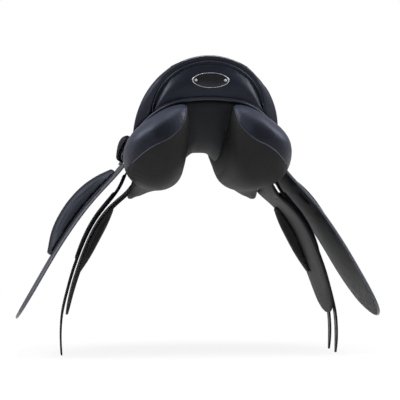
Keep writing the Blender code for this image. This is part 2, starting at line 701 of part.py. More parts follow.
def build_sweat_flaps(leather, skin, panels):
    last = len(SWEAT_PROFILE) - 1
    rows = range(len(SWEAT_PROFILE))
    edges = rounded_edges(SWEAT_PROFILE, SWEAT_REAR_Y, SWEAT_FRONT_Y, 0.080, 0.120, last)
    for suffix, side in (("l", -1), ("r", 1)):
        panel = surface_of(bpy.data.objects["panel_" + suffix])
        outer = profile_grid(SWEAT_PROFILE, rows, edges, side, 0.0)
        inner = profile_grid(SWEAT_PROFILE, rows, edges, side, -SWEAT_THICKNESS)
        for grid, proud in ((inner, 2 * FIT), (outer, 2 * FIT + SWEAT_THICKNESS)):
            for point in grid[0]:
                point.z = through(SWEAT_TOP, point.y)
                hit, _, _, _ = panel.ray_cast(Vector((side, point.y, point.z)), Vector((-side, 0, 0)))
                point.x = hit.x + side * proud
        slab("sweat_flap_" + suffix, outer, inner, leather)

        def pad_edges(k):
            middle = 0.104 - 0.0012 * (k - 6) ** 2
            half = 0.024 * (0.6 + 0.4 * swell((k - 2) / 9))
            return middle - half, middle + half

        def depth(k, j):
            along = {3: 0.35, 4: 0.8, 5: 1.0, 6: 1.0, 7: 0.9, 8: 0.65, 9: 0.25}[k]
            return -SWEAT_THICKNESS - FIT - KNEE_HEIGHT * along * (0.2 + 0.8 * swell(j / 6, 0.6))

        rows_pad = range(3, 10)
        base = profile_grid(SWEAT_PROFILE, rows_pad, pad_edges, side, -SWEAT_THICKNESS - FIT, 6)
        top = profile_grid(SWEAT_PROFILE, rows_pad, pad_edges, side, depth, 6)
        slab("knee_pad_" + suffix, base, top, skin)


BILLET_PLACES = {"front": 0.042, "rear": -0.034}
WEB_ROUTE = [(0.086, 0.0890), (0.101, 0.0830), (0.118, 0.0765), (0.135, 0.0690), (0.150, 0.0590)]
WEB_TREE_FRONT_Y = 0.026
WEB_MARGIN = 0.016


def build_billets(leather, web):
    """Two girth straps a side, pointed at the end, on the web nailed under the tree."""
    tree = surface_of(*[bpy.data.objects[name] for name in ("tree_frame", "spring_strip_l", "spring_strip_r")])
    last = len(BILLET_PROFILE) - 1
    for suffix, side in (("l", -1), ("r", 1)):
        for name, middle in BILLET_PLACES.items():
            def edges(k):
                half = BILLET_WIDTH / 2 * (1.0 if k < last else 0.30)
                return middle - half, middle + half

            rows = range(1, last + 1)
            outer = profile_grid(BILLET_PROFILE, rows, edges, side, BILLET_THICKNESS, 2)
            inner = profile_grid(BILLET_PROFILE, rows, edges, side, 0.0, 2)
            slab("billet_" + name + "_" + suffix, outer, inner, leather)

        guard_rows = range(3, 10)

        def guard_edges(k):
            reach = {3: 0.052, 4: 0.056, 5: 0.058, 6: 0.058, 7: 0.056, 8: 0.044, 9: 0.018}[k]
            centre = sum(BILLET_PLACES.values()) / 2
            return centre - reach, centre + reach

        proud = BILLET_THICKNESS + FIT
        outer = profile_grid(BILLET_PROFILE, guard_rows, guard_edges, side, proud + 0.003, 6)
        inner = profile_grid(BILLET_PROFILE, guard_rows, guard_edges, side, proud, 6)
        slab("buckle_guard_" + suffix, outer, inner, leather)

        top = Vector((BILLET_PROFILE[1][0], 0, BILLET_PROFILE[1][1]))
        ahead = (Vector((BILLET_PROFILE[2][0], 0, BILLET_PROFILE[2][1])) - top).normalized()
        sewn = top - ahead * FIT
        web_route = WEB_ROUTE + [(sewn.x, sewn.z)]

        def web_edges(k):
            front = {0: WEB_TREE_FRONT_Y, 1: (WEB_TREE_FRONT_Y + BILLET_PLACES["front"] + WEB_MARGIN) / 2}
            return (BILLET_PLACES["rear"] - WEB_MARGIN, front.get(k, BILLET_PLACES["front"] + WEB_MARGIN))

        outer = profile_grid(web_route, range(len(web_route)), web_edges, side, WEB_THICKNESS, 4)
        inner = profile_grid(web_route, range(len(web_route)), web_edges, side, 0.0, 4)
        for grid, drop in ((outer, 2 * FIT), (inner, 2 * FIT + WEB_THICKNESS)):
            for point in grid[0]:
                point.x = WEB_ROUTE[0][0] * side
                hit, _, _, _ = tree.ray_cast(Vector((point.x, point.y, -1)), Vector((0, 0, 1)))
                point.z = hit.z - drop
        slab("girth_web_" + suffix, outer, inner, web)


SKIRT_DROPS = 6
SKIRT_OFFSET = (0.0008, 0.004)
SKIVED_THICKNESS = 0.0008  # pared edge of the skirt where it is sewn to the seat
# Down the skirt's lower edge: y, share of the drop, how far out and up it ends, and its bulge
SKIRT_REACH = [(-0.156, 1.0, -0.001, 0.049, 0.002), (-0.149, 1.0, 0.006, 0.041, 0.007),
               (-0.137, 1.0, 0.0135, 0.026, 0.012), (-0.125, 1.0, 0.0165, 0.0125, 0.015),
               (-0.110, 1.0, 0.0150, 0.006, 0.0165), (-0.094, 1.0, 0.009, 0.003, 0.0165),
               (-0.074, 1.0, 0.003, 0.0008, 0.015), (-0.045, 1.0, 0.0, 0.0, 0.014),
               (-0.006, 1.0, 0.0, 0.0, 0.014), (0.036, 1.0, 0.0, 0.0, 0.014), (0.074, 1.0, 0.0, 0.0, 0.014),
               (0.112, 1.0, 0.0, 0.0, 0.014), (0.148, 1.0, 0.0, 0.0, 0.014), (0.178, 0.93, 0.0, 0.0, 0.014),
               (0.192, 0.78, 0.0, 0.0, 0.014), (0.200, 0.58, 0.0, 0.0, 0.014)]


def build_skirts(leather):
    """Small flaps over the stirrup bars, bent along the straight lower edge of the seat."""
    for suffix, side in (("l", -1), ("r", 1)):
        outer = []
        inner = []
        for place, reach, flare, lift, rise in SKIRT_REACH:
            y = lengthwise(place)
            x, _, z = edge_point(y)
            start = Vector((x + SKIRT_OFFSET[0], y, z + SKIRT_OFFSET[1]))
            end = Vector((FLAP_HINGE_X + flare, y, FLAP_HINGE_Z + FIT + lift))
            row_in = []
            row_out = []
            for k in range(SKIRT_DROPS + 1):
                share = reach * k / SKIRT_DROPS
                arch = Vector((0.55, 0, 0.83)) * (rise * math.sin(math.pi * share))
                point = start.lerp(end, share) + arch
                run = (end - start).normalized() + Vector((0, 0, -0.35 * (2 * share - 1)))
                out = Vector((-run.z, 0, run.x)).normalized()
                row_in.append(point)
                row_out.append(point + out * (SKIRT_THICKNESS if k else SKIVED_THICKNESS))
            outer.append(row_out)
            inner.append(row_in)
        slab("skirt_" + suffix, mirrored(outer, side), mirrored(inner, side), leather)


HEAD_ROWS = (2, 3, 4)
PLATE_STEEL = 0.003
POINT_CLEARANCE = 0.0032
POCKET_REAR_Y = 0.138
POCKET_FRONT_Y = 0.192
POCKET_LEATHER = 0.0015


def build_head(steel, leather):
    """Steel arch under the tree's head, its points in pockets on the panels, and the head's facing."""
    under = []
    over = []
    for i in HEAD_ROWS:
        y = CORE_ROWS[i][3]
        row_under = []
        row_over = []
        for side in (-1, 1):
            arm_in = [panel_ring(y, side, POINT_CLEARANCE)[j] for j in (4, 3, 2)]
            arm_out = [panel_ring(y, side, POINT_CLEARANCE + PLATE_STEEL)[j] for j in (4, 3, 2)]
            if side > 0:
                arm_in.reverse()
                arm_out.reverse()
                row_under += [above_core(i, j, -FIT - PLATE_STEEL) for j in range(1, SEAT_COLUMNS)]
                row_over += [above_core(i, j, -FIT) for j in range(1, SEAT_COLUMNS)]
            row_under += arm_in
            row_over += arm_out
        under.append(row_under)
        over.append(row_over)
    slab("gullet_plate", over, under, steel)
    layer("head_plate", lambda i, j: above_core(i, j, BELLY_BASE + WEB_THICKNESS),
          lambda i, j: above_core(i, j, BELLY_BASE), range(1, 5), range(5, 14), steel)
    low = POINT_CLEARANCE + PLATE_STEEL + 2 * FIT
    middle_rows = [CORE_ROWS[i][3] for i in reversed(HEAD_ROWS)]
    rows = [POCKET_REAR_Y] + middle_rows + [POCKET_FRONT_Y]
    for suffix, side in (("l", -1), ("r", 1)):
        inner = []
        outer = []
        for y in rows:
            lift = low if y in middle_rows else FIT
            sewn = {3: lift, 4: lift, 5: FIT}
            inner.append([panel_ring(y, side, proud)[j] for j, proud in sewn.items()])
            outer.append([panel_ring(y, side, proud + POCKET_LEATHER)[j] for j, proud in sewn.items()])
        slab("point_pocket_" + suffix, outer, inner, leather)

    columns = range(1, SEAT_COLUMNS)
    outer = []
    inner = []
    for share in (0.0, 0.5, 1.0):
        outer_row = []
        inner_row = []
        for j in columns:
            top = below_top(0, j, COVER_THICKNESS + FIT)
            foot = above_core(0, j, -0.0045)
            behind = below_top(1, j, COVER_THICKNESS + FIT).lerp(above_core(1, j, -0.0045), share)
            front = top.lerp(foot, share)
            outer_row.append(front)
            inner_row.append(front.lerp(behind, 0.3))
        outer.append(outer_row)
        inner.append(inner_row)
    return slab("head_facing", outer, inner, leather)


def box_between(name, low, high, material):
    """Plain block; it is cut or joined by the pieces that use it."""
    x0, y0, z0 = low
    x1, y1, z1 = high
    rings = [[Vector((x, y, z)) for x, y in ((x0, y0), (x1, y0), (x1, y1), (x0, y1))] for z in (z0, z1)]
    return loft(name, rings, material)


def round_bar(name, start, end, radius, sides, material):
    rings = []
    ahead = (end - start).normalized()
    across = ahead.cross(Vector((0, 0, 1)) if abs(ahead.z) < 0.9 else Vector((1, 0, 0))).normalized()
    above = across.cross(ahead)
    for point in (start, end):
        rings.append([point + across * (radius * math.cos(2 * math.pi * k / sides))
                      + above * (radius * math.sin(2 * math.pi * k / sides)) for k in range(sides)])
    return loft(name, rings, material)


def boolean(item, tool, operation):
    change = item.modifiers.new(tool.name, "BOOLEAN")
    change.operation = operation
    change.object = tool
    change.solver = "EXACT"
    tool.hide_render = True
    tool.display_type = "WIRE"


BAR_FRONT_Y = 0.106
DEE_TAB_TOP = 0.137
DEE_AXIS_Z = 0.116
DEE_X = 0.049
DEE_TAB_HALF = 0.0065
DEE_TAB_LEATHER = 0.0016
BAR_FORK = 0.0040
CATCH_LENGTH = 0.017


def build_stirrup_bars(steel):
    """Forged bar on a back plate at the tree's side, with a hinged catch at its open end."""
    for suffix, side in (("l", -1), ("r", 1)):
        edge = 1 if side < 0 else SEAT_COLUMNS - 1
        plate_rows = range(5, 8)
        near = []
        far = []
        for i in plate_rows:
            a = above_core(i, edge, TREE_BASE - 0.010)
            b = above_core(i, edge, TREE_BASE + TREE_THICKNESS - 0.001)
            run = (b - a).normalized()
            out = Vector((run.z * side, 0, -run.x * side)).normalized()
            near.append([a + out * 2 * FIT, b + out * 2 * FIT])
            far.append([a + out * (2 * FIT + 0.003), b + out * (2 * FIT + 0.003)])
        bar = slab("stirrup_bar_" + suffix, far, near, steel)
        root = (far[0][0] + near[0][0]) / 2
        bar_x = max(abs(p.x) for row in far for p in row) + BAR_STAND_OFF
        bar_z = root.z - 0.002
        end_y = BAR_FRONT_Y - BAR_LENGTH
        half = BAR_WIDTH / 2
        low = BAR_FRONT_Y - half
        high = BAR_FRONT_Y + half
        foot = abs(root.x) + 0.0005
        depth = BAR_DEPTH / 2
        rings = []
        for x_in, y_in, x_out, y_out, z in ((foot, low, foot, high, root.z + 0.003),
                                            (bar_x - half, low, bar_x + half, high, bar_z),
                                            (bar_x - half, end_y, bar_x + half, end_y, bar_z)):
            rings.append([Vector((x_in * side, y_in, z - depth)), Vector((x_out * side, y_out, z - depth)),
                          Vector((x_out * side, y_out, z + depth)), Vector((x_in * side, y_in, z + depth))])
        hook = loft("bar_hook_tool_" + suffix, rings, steel)
        boolean(bar, hook, "UNION")
        centre = Vector((bar_x * side, end_y + 0.0045, bar_z))
        slot = box_between("bar_fork_tool_" + suffix,
                           (centre.x - BAR_FORK / 2, end_y - 0.002, bar_z - BAR_DEPTH),
                           (centre.x + BAR_FORK / 2, end_y + 0.0092, bar_z + BAR_DEPTH), steel)
        boolean(bar, slot, "DIFFERENCE")
        reach = Vector((half + 0.002, 0, 0))
        hole = round_bar("bar_hole_tool_" + suffix, centre - reach, centre + reach,
                         PIN_RADIUS + LAYER_GAP, 16, steel)
        boolean(bar, hole, "DIFFERENCE")

        hinge = body_empty("bar_catch_hinge_" + suffix, centre)
        tongue = BAR_FORK / 2 - 0.0004
        outline = []
        for k in range(9):
            turn = math.pi / 2 - math.pi * k / 8
            outline.append((0.0027 * math.cos(turn), 0.0027 * math.sin(turn)))
        outline += [(-CATCH_LENGTH, -0.0027), (-CATCH_LENGTH - 0.0015, 0.0), (-CATCH_LENGTH, 0.0027)]
        rings = [[Vector((centre.x + x, centre.y + y, centre.z + z)) for y, z in outline]
                 for x in (-tongue, tongue)]
        catch = loft("bar_catch_" + suffix, rings, steel)
        boolean(catch, hole, "DIFFERENCE")
        bpy.context.view_layer.update()
        hang_on(catch, hinge)
        short = Vector((half - 0.0004, 0, 0))
        round_bar("catch_pin_" + suffix, centre - short, centre + short, PIN_RADIUS, 16, steel)


def build_dees(metal, leather, head_facing):
    """Rings at the head for tying a breastplate, each in a folded leather tab."""
    surface = surface_of(head_facing)
    for suffix, side in (("l", -1), ("r", 1)):
        x = side * DEE_X
        hits = [surface.ray_cast(Vector((x + dx, 1.0, z)), Vector((0, -1, 0)))[0]
                for z in (0.118, 0.124, 0.130, DEE_TAB_TOP) for dx in (-0.006, 0.0, 0.006)]
        face = max(hit.y for hit in hits if hit) + FIT
        fold = DEE_WIRE + FIT
        sheet = DEE_TAB_LEATHER
        axis_y = face + sheet + fold
        axis_z = DEE_AXIS_Z
        inner = [(axis_y + fold, DEE_TAB_TOP), (axis_y + fold, axis_z)]
        outer = [(axis_y + fold + sheet, DEE_TAB_TOP), (axis_y + fold + sheet, axis_z)]
        for k in range(1, 8):
            turn = -math.pi * k / 8
            inner.append((axis_y + fold * math.cos(turn), axis_z + fold * math.sin(turn)))
            outer.append((axis_y + (fold + sheet) * math.cos(turn), axis_z + (fold + sheet) * math.sin(turn)))
        inner += [(axis_y - fold, axis_z), (axis_y - fold, DEE_TAB_TOP)]
        outer += [(axis_y - fold - sheet, axis_z), (axis_y - fold - sheet, DEE_TAB_TOP)]
        half = DEE_TAB_HALF
        outer_grid = [[Vector((x + dx, y, z)) for dx in (-half, half)] for y, z in outer]
        inner_grid = [[Vector((x + dx, y, z)) for dx in (-half, half)] for y, z in inner]
        slab("dee_chape_" + suffix, outer_grid, inner_grid, leather)
        centre = Vector((x, axis_y, axis_z))
        swivel = body_empty("dee_ring_swivel_" + suffix, centre)
        ring_path = []
        reach = DEE_WIDTH / 2
        for k in range(13):
            turn = math.pi * k / 12
            ring_path.append(centre + Vector((reach * math.cos(turn), 0, -0.003 - 0.9 * reach * math.sin(turn))))
        straight = [centre + Vector((reach * s, 0, 0)) for s in (-1, -0.5, 0, 0.5, 1)]
        loop = straight + ring_path
        rings = []
        count = len(loop)
        for k, point in enumerate(loop):
            ahead = loop[(k + 1) % count] - loop[k - 1]
            flat = Vector((0, 1, 0))
            across = ahead.cross(flat).normalized()
            rings.append([point + across * (DEE_WIRE * math.cos(math.pi * n / 4))
                          + flat * (DEE_WIRE * math.sin(math.pi * n / 4)) for n in range(8)])
        verts = [p for ring in rings for p in ring]
        faces = []
        for i in range(count):
            for j in range(8):
                a, b = i * 8 + j, i * 8 + (j + 1) % 8
                c, d = (i + 1) % count * 8 + (j + 1) % 8, (i + 1) % count * 8 + j
                faces += [(a, b, c), (a, c, d)]
        ring = add_object("dee_ring_" + suffix, verts, faces, metal)
        bpy.context.view_layer.update()
        hang_on(ring, swivel)


def build_nails(metal, cover):
    """Domed saddle nails at both sides of the pommel."""
    surface = surface_of(cover)
    for suffix, side in (("l", -1), ("r", 1)):
        hit, normal, _, _ = surface.ray_cast(Vector((side, NAIL_Y - 0.030, 0.160)), Vector((-side, 0, 0)))
        across = normal.cross(Vector((0, 0, 1))).normalized()
        above = across.cross(normal).normalized()
        rings = []
        for radius, proud in ((1.0, 0.0010), (1.0, 0.0017), (0.75, 0.0030), (0.35, 0.0036)):
            rings.append([hit + normal * proud + across * (radius * NAIL_RADIUS * math.cos(2 * math.pi * k / 12))
                          + above * (radius * NAIL_RADIUS * math.sin(2 * math.pi * k / 12)) for k in range(12)])
        loft("pommel_nail_" + suffix, rings, metal)


JOINED_BODIES = {
    "flap_hinge": ((FLAP_HINGE_X, 0.020, FLAP_HINGE_Z), ("flap", "thigh_block", "keeper")),
    "skirt_hinge": ((EDGE_FRONT[0], EDGE_FRONT[1], EDGE_FRONT[2] + 0.004), ("skirt",)),
    "billet_hinge": ((BILLET_PROFILE[1][0], 0.004, BILLET_PROFILE[1][1]),
                     ("billet_front", "billet_rear", "buckle_guard")),
}


def parent_moving_pieces():
    for name, (place, pieces) in JOINED_BODIES.items():
        for suffix, side in (("l", -1), ("r", 1)):
            x, y, z = place
            empty = body_empty(name + "_" + suffix, (x * side, y, z))
            bpy.context.view_layer.update()
            for piece in pieces:
                hang_on(bpy.data.objects[piece + "_" + suffix], empty)


def main():
    clear_scene()
    black = make_material("black_leather", (0.020, 0.021, 0.025), 0.42)
    skin = make_material("panel_leather", (0.028, 0.029, 0.034), 0.48)
    foam = make_material("seat_foam", (0.55, 0.53, 0.45), 0.9)
    wood = make_material("laminated_beech", (0.52, 0.36, 0.20), 0.55)
    web = make_material("linen_web", (0.62, 0.58, 0.48), 0.85)
    steel = make_material("spring_steel", (0.45, 0.46, 0.48), 0.35, 1.0)
    silver = make_material("polished_plate", (0.72, 0.72, 0.74), 0.25, 1.0)
    build_seat(black, foam, wood, web, steel)
    build_panels(skin, black)
    panels = [bpy.data.objects["panel_l"], bpy.data.objects["panel_r"]]
    build_lining(skin)
    covered = panels + [bpy.data.objects["gusset_l"], bpy.data.objects["gusset_r"]]
    facing = build_cantle(black, covered)
    build_nameplate(silver, steel, facing)
    head_facing = build_head(steel, black)
    build_stirrup_bars(steel)
    build_dees(silver, black, head_facing)
    build_nails(silver, bpy.data.objects["seat_cover"])
    build_flaps(black)
    build_blocks(black)
    build_keepers(black)
    build_sweat_flaps(black, skin, panels)
    build_billets(black, web)
    build_skirts(black)
    parent_moving_pieces()


main()
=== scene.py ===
import json
import math

import bmesh
import bpy
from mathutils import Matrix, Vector
from mathutils.bvhtree import BVHTree
from mathutils.kdtree import KDTree


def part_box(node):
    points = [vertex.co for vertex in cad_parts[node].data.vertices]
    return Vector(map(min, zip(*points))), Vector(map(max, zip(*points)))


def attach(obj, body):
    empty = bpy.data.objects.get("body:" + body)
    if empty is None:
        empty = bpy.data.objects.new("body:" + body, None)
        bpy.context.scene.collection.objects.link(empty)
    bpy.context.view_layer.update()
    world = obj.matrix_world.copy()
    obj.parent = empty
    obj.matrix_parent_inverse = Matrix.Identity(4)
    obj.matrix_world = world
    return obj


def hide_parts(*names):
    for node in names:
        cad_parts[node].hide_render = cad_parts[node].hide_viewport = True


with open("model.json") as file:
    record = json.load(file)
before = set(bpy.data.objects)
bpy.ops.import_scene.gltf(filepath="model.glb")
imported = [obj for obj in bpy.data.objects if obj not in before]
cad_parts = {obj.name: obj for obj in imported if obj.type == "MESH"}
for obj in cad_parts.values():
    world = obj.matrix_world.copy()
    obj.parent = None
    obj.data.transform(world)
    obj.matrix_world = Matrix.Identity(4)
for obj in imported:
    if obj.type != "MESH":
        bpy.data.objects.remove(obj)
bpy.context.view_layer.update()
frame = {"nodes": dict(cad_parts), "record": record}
nodes = frame["nodes"]


# Tree
# A frame of laminated beech with a steel arch and head plate in front and a strip of spring steel
# down each side, riveted on. The stirrup bars are forged, each with a catch hinged on a pin.

class Field:
    """A shader socket that takes part in arithmetic; each operation adds its Math node."""

    def __init__(self, graph, socket):
        self.graph = graph
        self.socket = socket

    def math(self, operation, *others):
        return self.graph.node("ShaderNodeMath", {"operation": operation}, self, *others)

    def __add__(self, other):
        return self.math("ADD", other)

    def __radd__(self, other):
        return self.math("ADD", other)

    def __sub__(self, other):
        return self.math("SUBTRACT", other)

    def __rsub__(self, other):
        return self.graph.node("ShaderNodeMath", {"operation": "SUBTRACT"}, other, self)

    def __mul__(self, other):
        return self.math("MULTIPLY", other)

    def __rmul__(self, other):
        return self.math("MULTIPLY", other)

    def clamped(self):
        return self.graph.node("ShaderNodeClamp", {}, self)


class Graph:
    """Material or world under construction, built from nodes by way of node()."""

    def __init__(self, name, kind="materials"):
        self.owner = getattr(bpy.data, kind).new(name)
        self.owner.use_nodes = True
        self.tree = self.owner.node_tree
        self.shader = self.tree.nodes.get("Principled BSDF")

    def node(self, kind, settings, *values, output=None, **named):
        """Adds a node, sets it up, fills its sockets in the order shown or by name, gives its output."""
        made = self.tree.nodes.new(kind)
        for key, value in settings.items():
            setattr(made, key, value)
        shown = [socket for socket in made.inputs if socket.enabled]
        for socket, value in zip(shown, values):
            self.feed(socket, value)
        for key, value in named.items():
            self.feed(made.inputs[key], value)
        if output:
            return Field(self, made.outputs[output])
        return Field(self, next(socket for socket in made.outputs if socket.enabled))

    def feed(self, socket, value):
        if isinstance(value, Field):
            self.tree.links.new(value.socket, socket)
        else:
            socket.default_value = value

    def place(self):
        return self.node("ShaderNodeTexCoord", {}, output="Object")

    def facing(self):
        return self.node("ShaderNodeTexCoord", {}, output="Normal")

    def along(self, axis, vector):
        return self.node("ShaderNodeSeparateXYZ", {}, vector, output=axis)

    def noise(self, scale, detail=3.0, rough=0.5, stretch=(1, 1, 1)):
        at = self.node("ShaderNodeMapping", {}, self.place(), Scale=stretch)
        return self.node("ShaderNodeTexNoise", {}, Vector=at, Scale=scale, Detail=detail, Roughness=rough)

    def waves(self, direction, scale, distortion):
        settings = {"bands_direction": direction}
        return self.node("ShaderNodeTexWave", settings,
                         Vector=self.place(), Scale=scale, Distortion=distortion)

    def cells(self, scale):
        settings = {"feature": "DISTANCE_TO_EDGE"}
        return self.node("ShaderNodeTexVoronoi", settings, Vector=self.place(), Scale=scale)

    def between(self, share, low, high):
        return self.node("ShaderNodeMapRange", {}, share, 0.0, 1.0, low, high)

    def blend(self, share, first, second):
        return self.node("ShaderNodeMix", {"data_type": "RGBA"}, share, first, second)

    def bump(self, height, strength, distance, under=None):
        below = {"Normal": under} if under else {}
        return self.node("ShaderNodeBump", {}, Strength=strength, Distance=distance, Height=height, **below)

    def finish(self, colour, rough, normal=None, shine=0.5, tint=(1, 1, 1), **fixed):
        inputs = self.shader.inputs
        self.feed(inputs["Base Color"], colour)
        self.feed(inputs["Roughness"], rough)
        inputs["Specular IOR Level"].default_value = shine
        inputs["Specular Tint"].default_value = (*tint, 1)
        for key, value in fixed.items():
            inputs[key.replace("_", " ").title()].default_value = value
        if normal is not None:
            self.feed(inputs["Normal"], normal)
        return self.owner


# Past these places at the head and the cantle the wood is painted black: painted shade for the gaps where the
# tree shows between the covers.
SHADE_HEAD_Y = 0.140
SHADE_CANTLE_Y = -0.060
SHADE_EDGE = 900.0


def laminated_wood(name):
    """Beech veneers glued in layers; the head and the cantle are painted black, as painted shade where the
    tree shows through gaps between the covers.
    """
    g = Graph(name)
    grain = g.noise(60.0, 6.0, 0.6, stretch=(1, 0.06, 1))
    plies = g.waves("Z", 150.0, 2.0)
    colour = g.blend((grain * 0.7 + plies * 0.3).clamped(), (0.36, 0.22, 0.11, 1), (0.60, 0.42, 0.24, 1))
    y = g.along("Y", g.place())
    # Painted shade: black over the cantle and the head, where the tree shows in the gaps between the covers.
    rear = ((SHADE_CANTLE_Y - y) * SHADE_EDGE + grain * 0.6).clamped()
    front = ((y - SHADE_HEAD_Y) * SHADE_EDGE + grain * 0.6).clamped()
    painted_gap_shade = (rear + front).clamped()
    colour = g.blend(painted_gap_shade, colour, (0.007, 0.007, 0.008, 1))
    return g.finish(colour, g.between(painted_gap_shade, 0.52, 0.85) + grain * 0.08, g.bump(grain, 0.3, 0.0004))


def plated(name, colour, rough, brushed=False):
    """Plated metal with fine rubbing marks and a little tarnish in random patches."""
    g = Graph(name)
    cloud = g.noise(38.0, 4.0)
    rub = g.noise(420.0, 2.0, stretch=(1, 1, 9) if brushed else (1, 1, 1))
    tint = g.blend(cloud, (*[c * 0.80 for c in colour], 1), (*colour, 1))
    worn = g.between(rub, rough - 0.06, rough + 0.10)
    return g.finish(tint, worn, g.bump(rub, 0.12, 0.00008), Metallic=1.0)


def finished(node, material):
    """Gives its finish to a solid that is shown as it was built."""
    nodes[node].data.materials.clear()
    nodes[node].data.materials.append(material)


SIDES = (("l", -1), ("r", 1))
forged_steel = plated("forged_steel", (0.42, 0.43, 0.45), rough=0.34, brushed=True)
finished("tree_frame", laminated_wood("laminated_beech_grain"))
finished("gullet_plate", forged_steel)
finished("head_plate", forged_steel)
for suffix, _ in SIDES:
    for word in ("spring_strip_", "stirrup_bar_", "bar_catch_", "catch_pin_"):
        finished(word + suffix, forged_steel)


# Webs
# Strips of linen girth web, nailed to the head and the cantle and drawn tight: one along the seat,
# one across its belly, and one on each side that carries the girth straps.

def applied(piece):
    """The piece with its modifiers worked into its mesh."""
    graph = bpy.context.evaluated_depsgraph_get()
    mesh = bpy.data.meshes.new_from_object(piece.evaluated_get(graph), depsgraph=graph)
    piece.modifiers.clear()
    piece.data = mesh
    mesh.shade_smooth()
    return piece


SHARP_EDGE = math.radians(50)
SQUARE_CORNER = math.radians(50)
GENTLE_BEND = math.radians(28)
SAME_PLACE = 0.00002


def refined(name, node, levels, rim=0.0):
    """Fine copy of a node's solid: its facets joined, sharp edges kept, then subdivided and rounded."""
    mesh = nodes[node].data.copy()
    shaped = bmesh.new()
    shaped.from_mesh(mesh)
    shaped.transform(nodes[node].matrix_world)
    bmesh.ops.remove_doubles(shaped, verts=shaped.verts, dist=SAME_PLACE)
    bmesh.ops.join_triangles(shaped, faces=shaped.faces, angle_face_threshold=GENTLE_BEND,
                             angle_shape_threshold=SQUARE_CORNER)
    crease = shaped.edges.layers.float.new("crease_edge")
    for edge in shaped.edges:
        if edge.calc_face_angle(0.0) > SHARP_EDGE:
            edge[crease] = 1.0
    shaped.to_mesh(mesh)
    shaped.free()
    piece = bpy.data.objects.new(name, mesh)
    bpy.context.scene.collection.objects.link(piece)
    divide = piece.modifiers.new("divide", "SUBSURF")
    divide.levels = levels
    divide.render_levels = levels
    if rim:
        bevel = piece.modifiers.new("rim", "BEVEL")
        bevel.width = rim
        bevel.segments = 2
        bevel.angle_limit = SHARP_EDGE
    return applied(piece)


body_of_node = {node: body for body, held in frame["record"]["behaviour"]["bodies"].items() for node in held}


def dress(piece, node, material, stands_for=True):
    """Puts the piece in its finish and on the body that carries the node."""
    piece.data.materials.clear()
    piece.data.materials.append(material)
    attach(piece, body_of_node[node])
    if stands_for:
        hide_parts(node)
    return piece


def woven_web(name, colour):
    """Linen girth web: a plain weave whose ribs catch the light."""
    g = Graph(name)
    warp = g.waves("X", 420.0, 0.4)
    weft = g.waves("Y", 420.0, 0.4)
    cloud = g.noise(26.0, 4.0)
    shade = g.blend(cloud, (*[c * 0.72 for c in colour], 1), (*colour, 1))
    return g.finish(shade, g.between(cloud, 0.80, 0.92), g.bump(warp * weft, 0.5, 0.0004), Sheen_Weight=0.3)


LINEN_WEBS = (("girth_tape_l", "girth_web_l", (0.108, 0.099), 0.0102),
              ("girth_tape_r", "girth_web_r", (0.108, 0.099), 0.0102),
              ("seat_tape", "seat_web", (0.095, 0.452), 0.0320),
              ("belly_tape", "belly_web", (0.127, 0.218), 0.0243))
linen = woven_web("linen", (0.50, 0.46, 0.37))
for name, node, flat, area in LINEN_WEBS:
    tape = dress(refined(name, node, 1), node, linen)


# Seat foam
# A moulded block of latex foam, cut to the sitting area and glued over the webs and the tree. It
# gives the seat its depth and its curve under the hide.

def open_foam(name):
    """Latex foam: pale, with the pin holes of its mould."""
    g = Graph(name)
    pores = g.cells(420.0)
    tone = g.noise(20.0, 3.0)
    colour = g.blend(tone, (0.50, 0.46, 0.35, 1), (0.62, 0.59, 0.48, 1))
    return g.finish(colour, g.between(pores, 0.85, 0.95), g.bump(pores, 0.6, 0.0008))


foam = dress(refined("seat_latex", "seat_foam", 1), "seat_foam", open_foam("latex_foam"))


# Seat cover
# One dyed and glazed hide, blocked wet over the foam and drawn down to the tree all round. A welted
# seam runs from pommel to cantle on each side of the sitting area, between two rows of stitches.

BLUE_SHINE = (0.72, 0.78, 1.0)


def hide_leather(name, dark, light, rough, grain, shine, painted_shade_below=None):
    """Glazed black hide; grain is the depth of its pebble, and a colour given for the underside is painted
    shade where it faces down.
    """
    g = Graph(name)
    tone = g.noise(14.0, 4.0, 0.55)
    patch = g.noise(4.5, 2.0)
    colour = g.blend((tone * 0.6 + patch * 0.4).clamped(), (*dark, 1), (*light, 1))
    if painted_shade_below:
        # Painted light and shade by facing: the given dark colour where the face turns down, the paler hide
        # colour where it faces up or sideways.
        upward = g.along("Z", g.facing())
        sideways = g.along("X", g.facing()).math("ABSOLUTE")
        colour = g.blend((upward * 1.3 + sideways * 0.8 + 0.05).clamped(), (*painted_shade_below, 1), colour)
    pebble = g.cells(760.0)
    crease = g.noise(260.0, 5.0, 0.6)
    normal = g.bump(pebble, 0.55, grain, g.bump(crease, 0.35, grain * 0.8))
    worn = g.between(g.noise(55.0, 4.0), rough - 0.05, rough + 0.09)
    return g.finish(colour, worn + pebble * 0.04, normal, shine, BLUE_SHINE)


seat_leather = hide_leather("seat_leather", (0.005, 0.0055, 0.010), (0.011, 0.012, 0.019),
                            rough=0.41, grain=0.00016, shine=0.22)


def skin_of(piece):
    """Search tree over the piece's faces, for laying things on them."""
    verts = [vert.co for vert in piece.data.vertices]
    return BVHTree.FromPolygons(verts, [list(face.vertices) for face in piece.data.polygons])


def mesh_piece(name, verts, faces):
    mesh = bpy.data.meshes.new(name)
    mesh.from_pydata([tuple(v) for v in verts], [], faces)
    mesh.shade_smooth()
    piece = bpy.data.objects.new(name, mesh)
    bpy.context.scene.collection.objects.link(piece)
    return piece


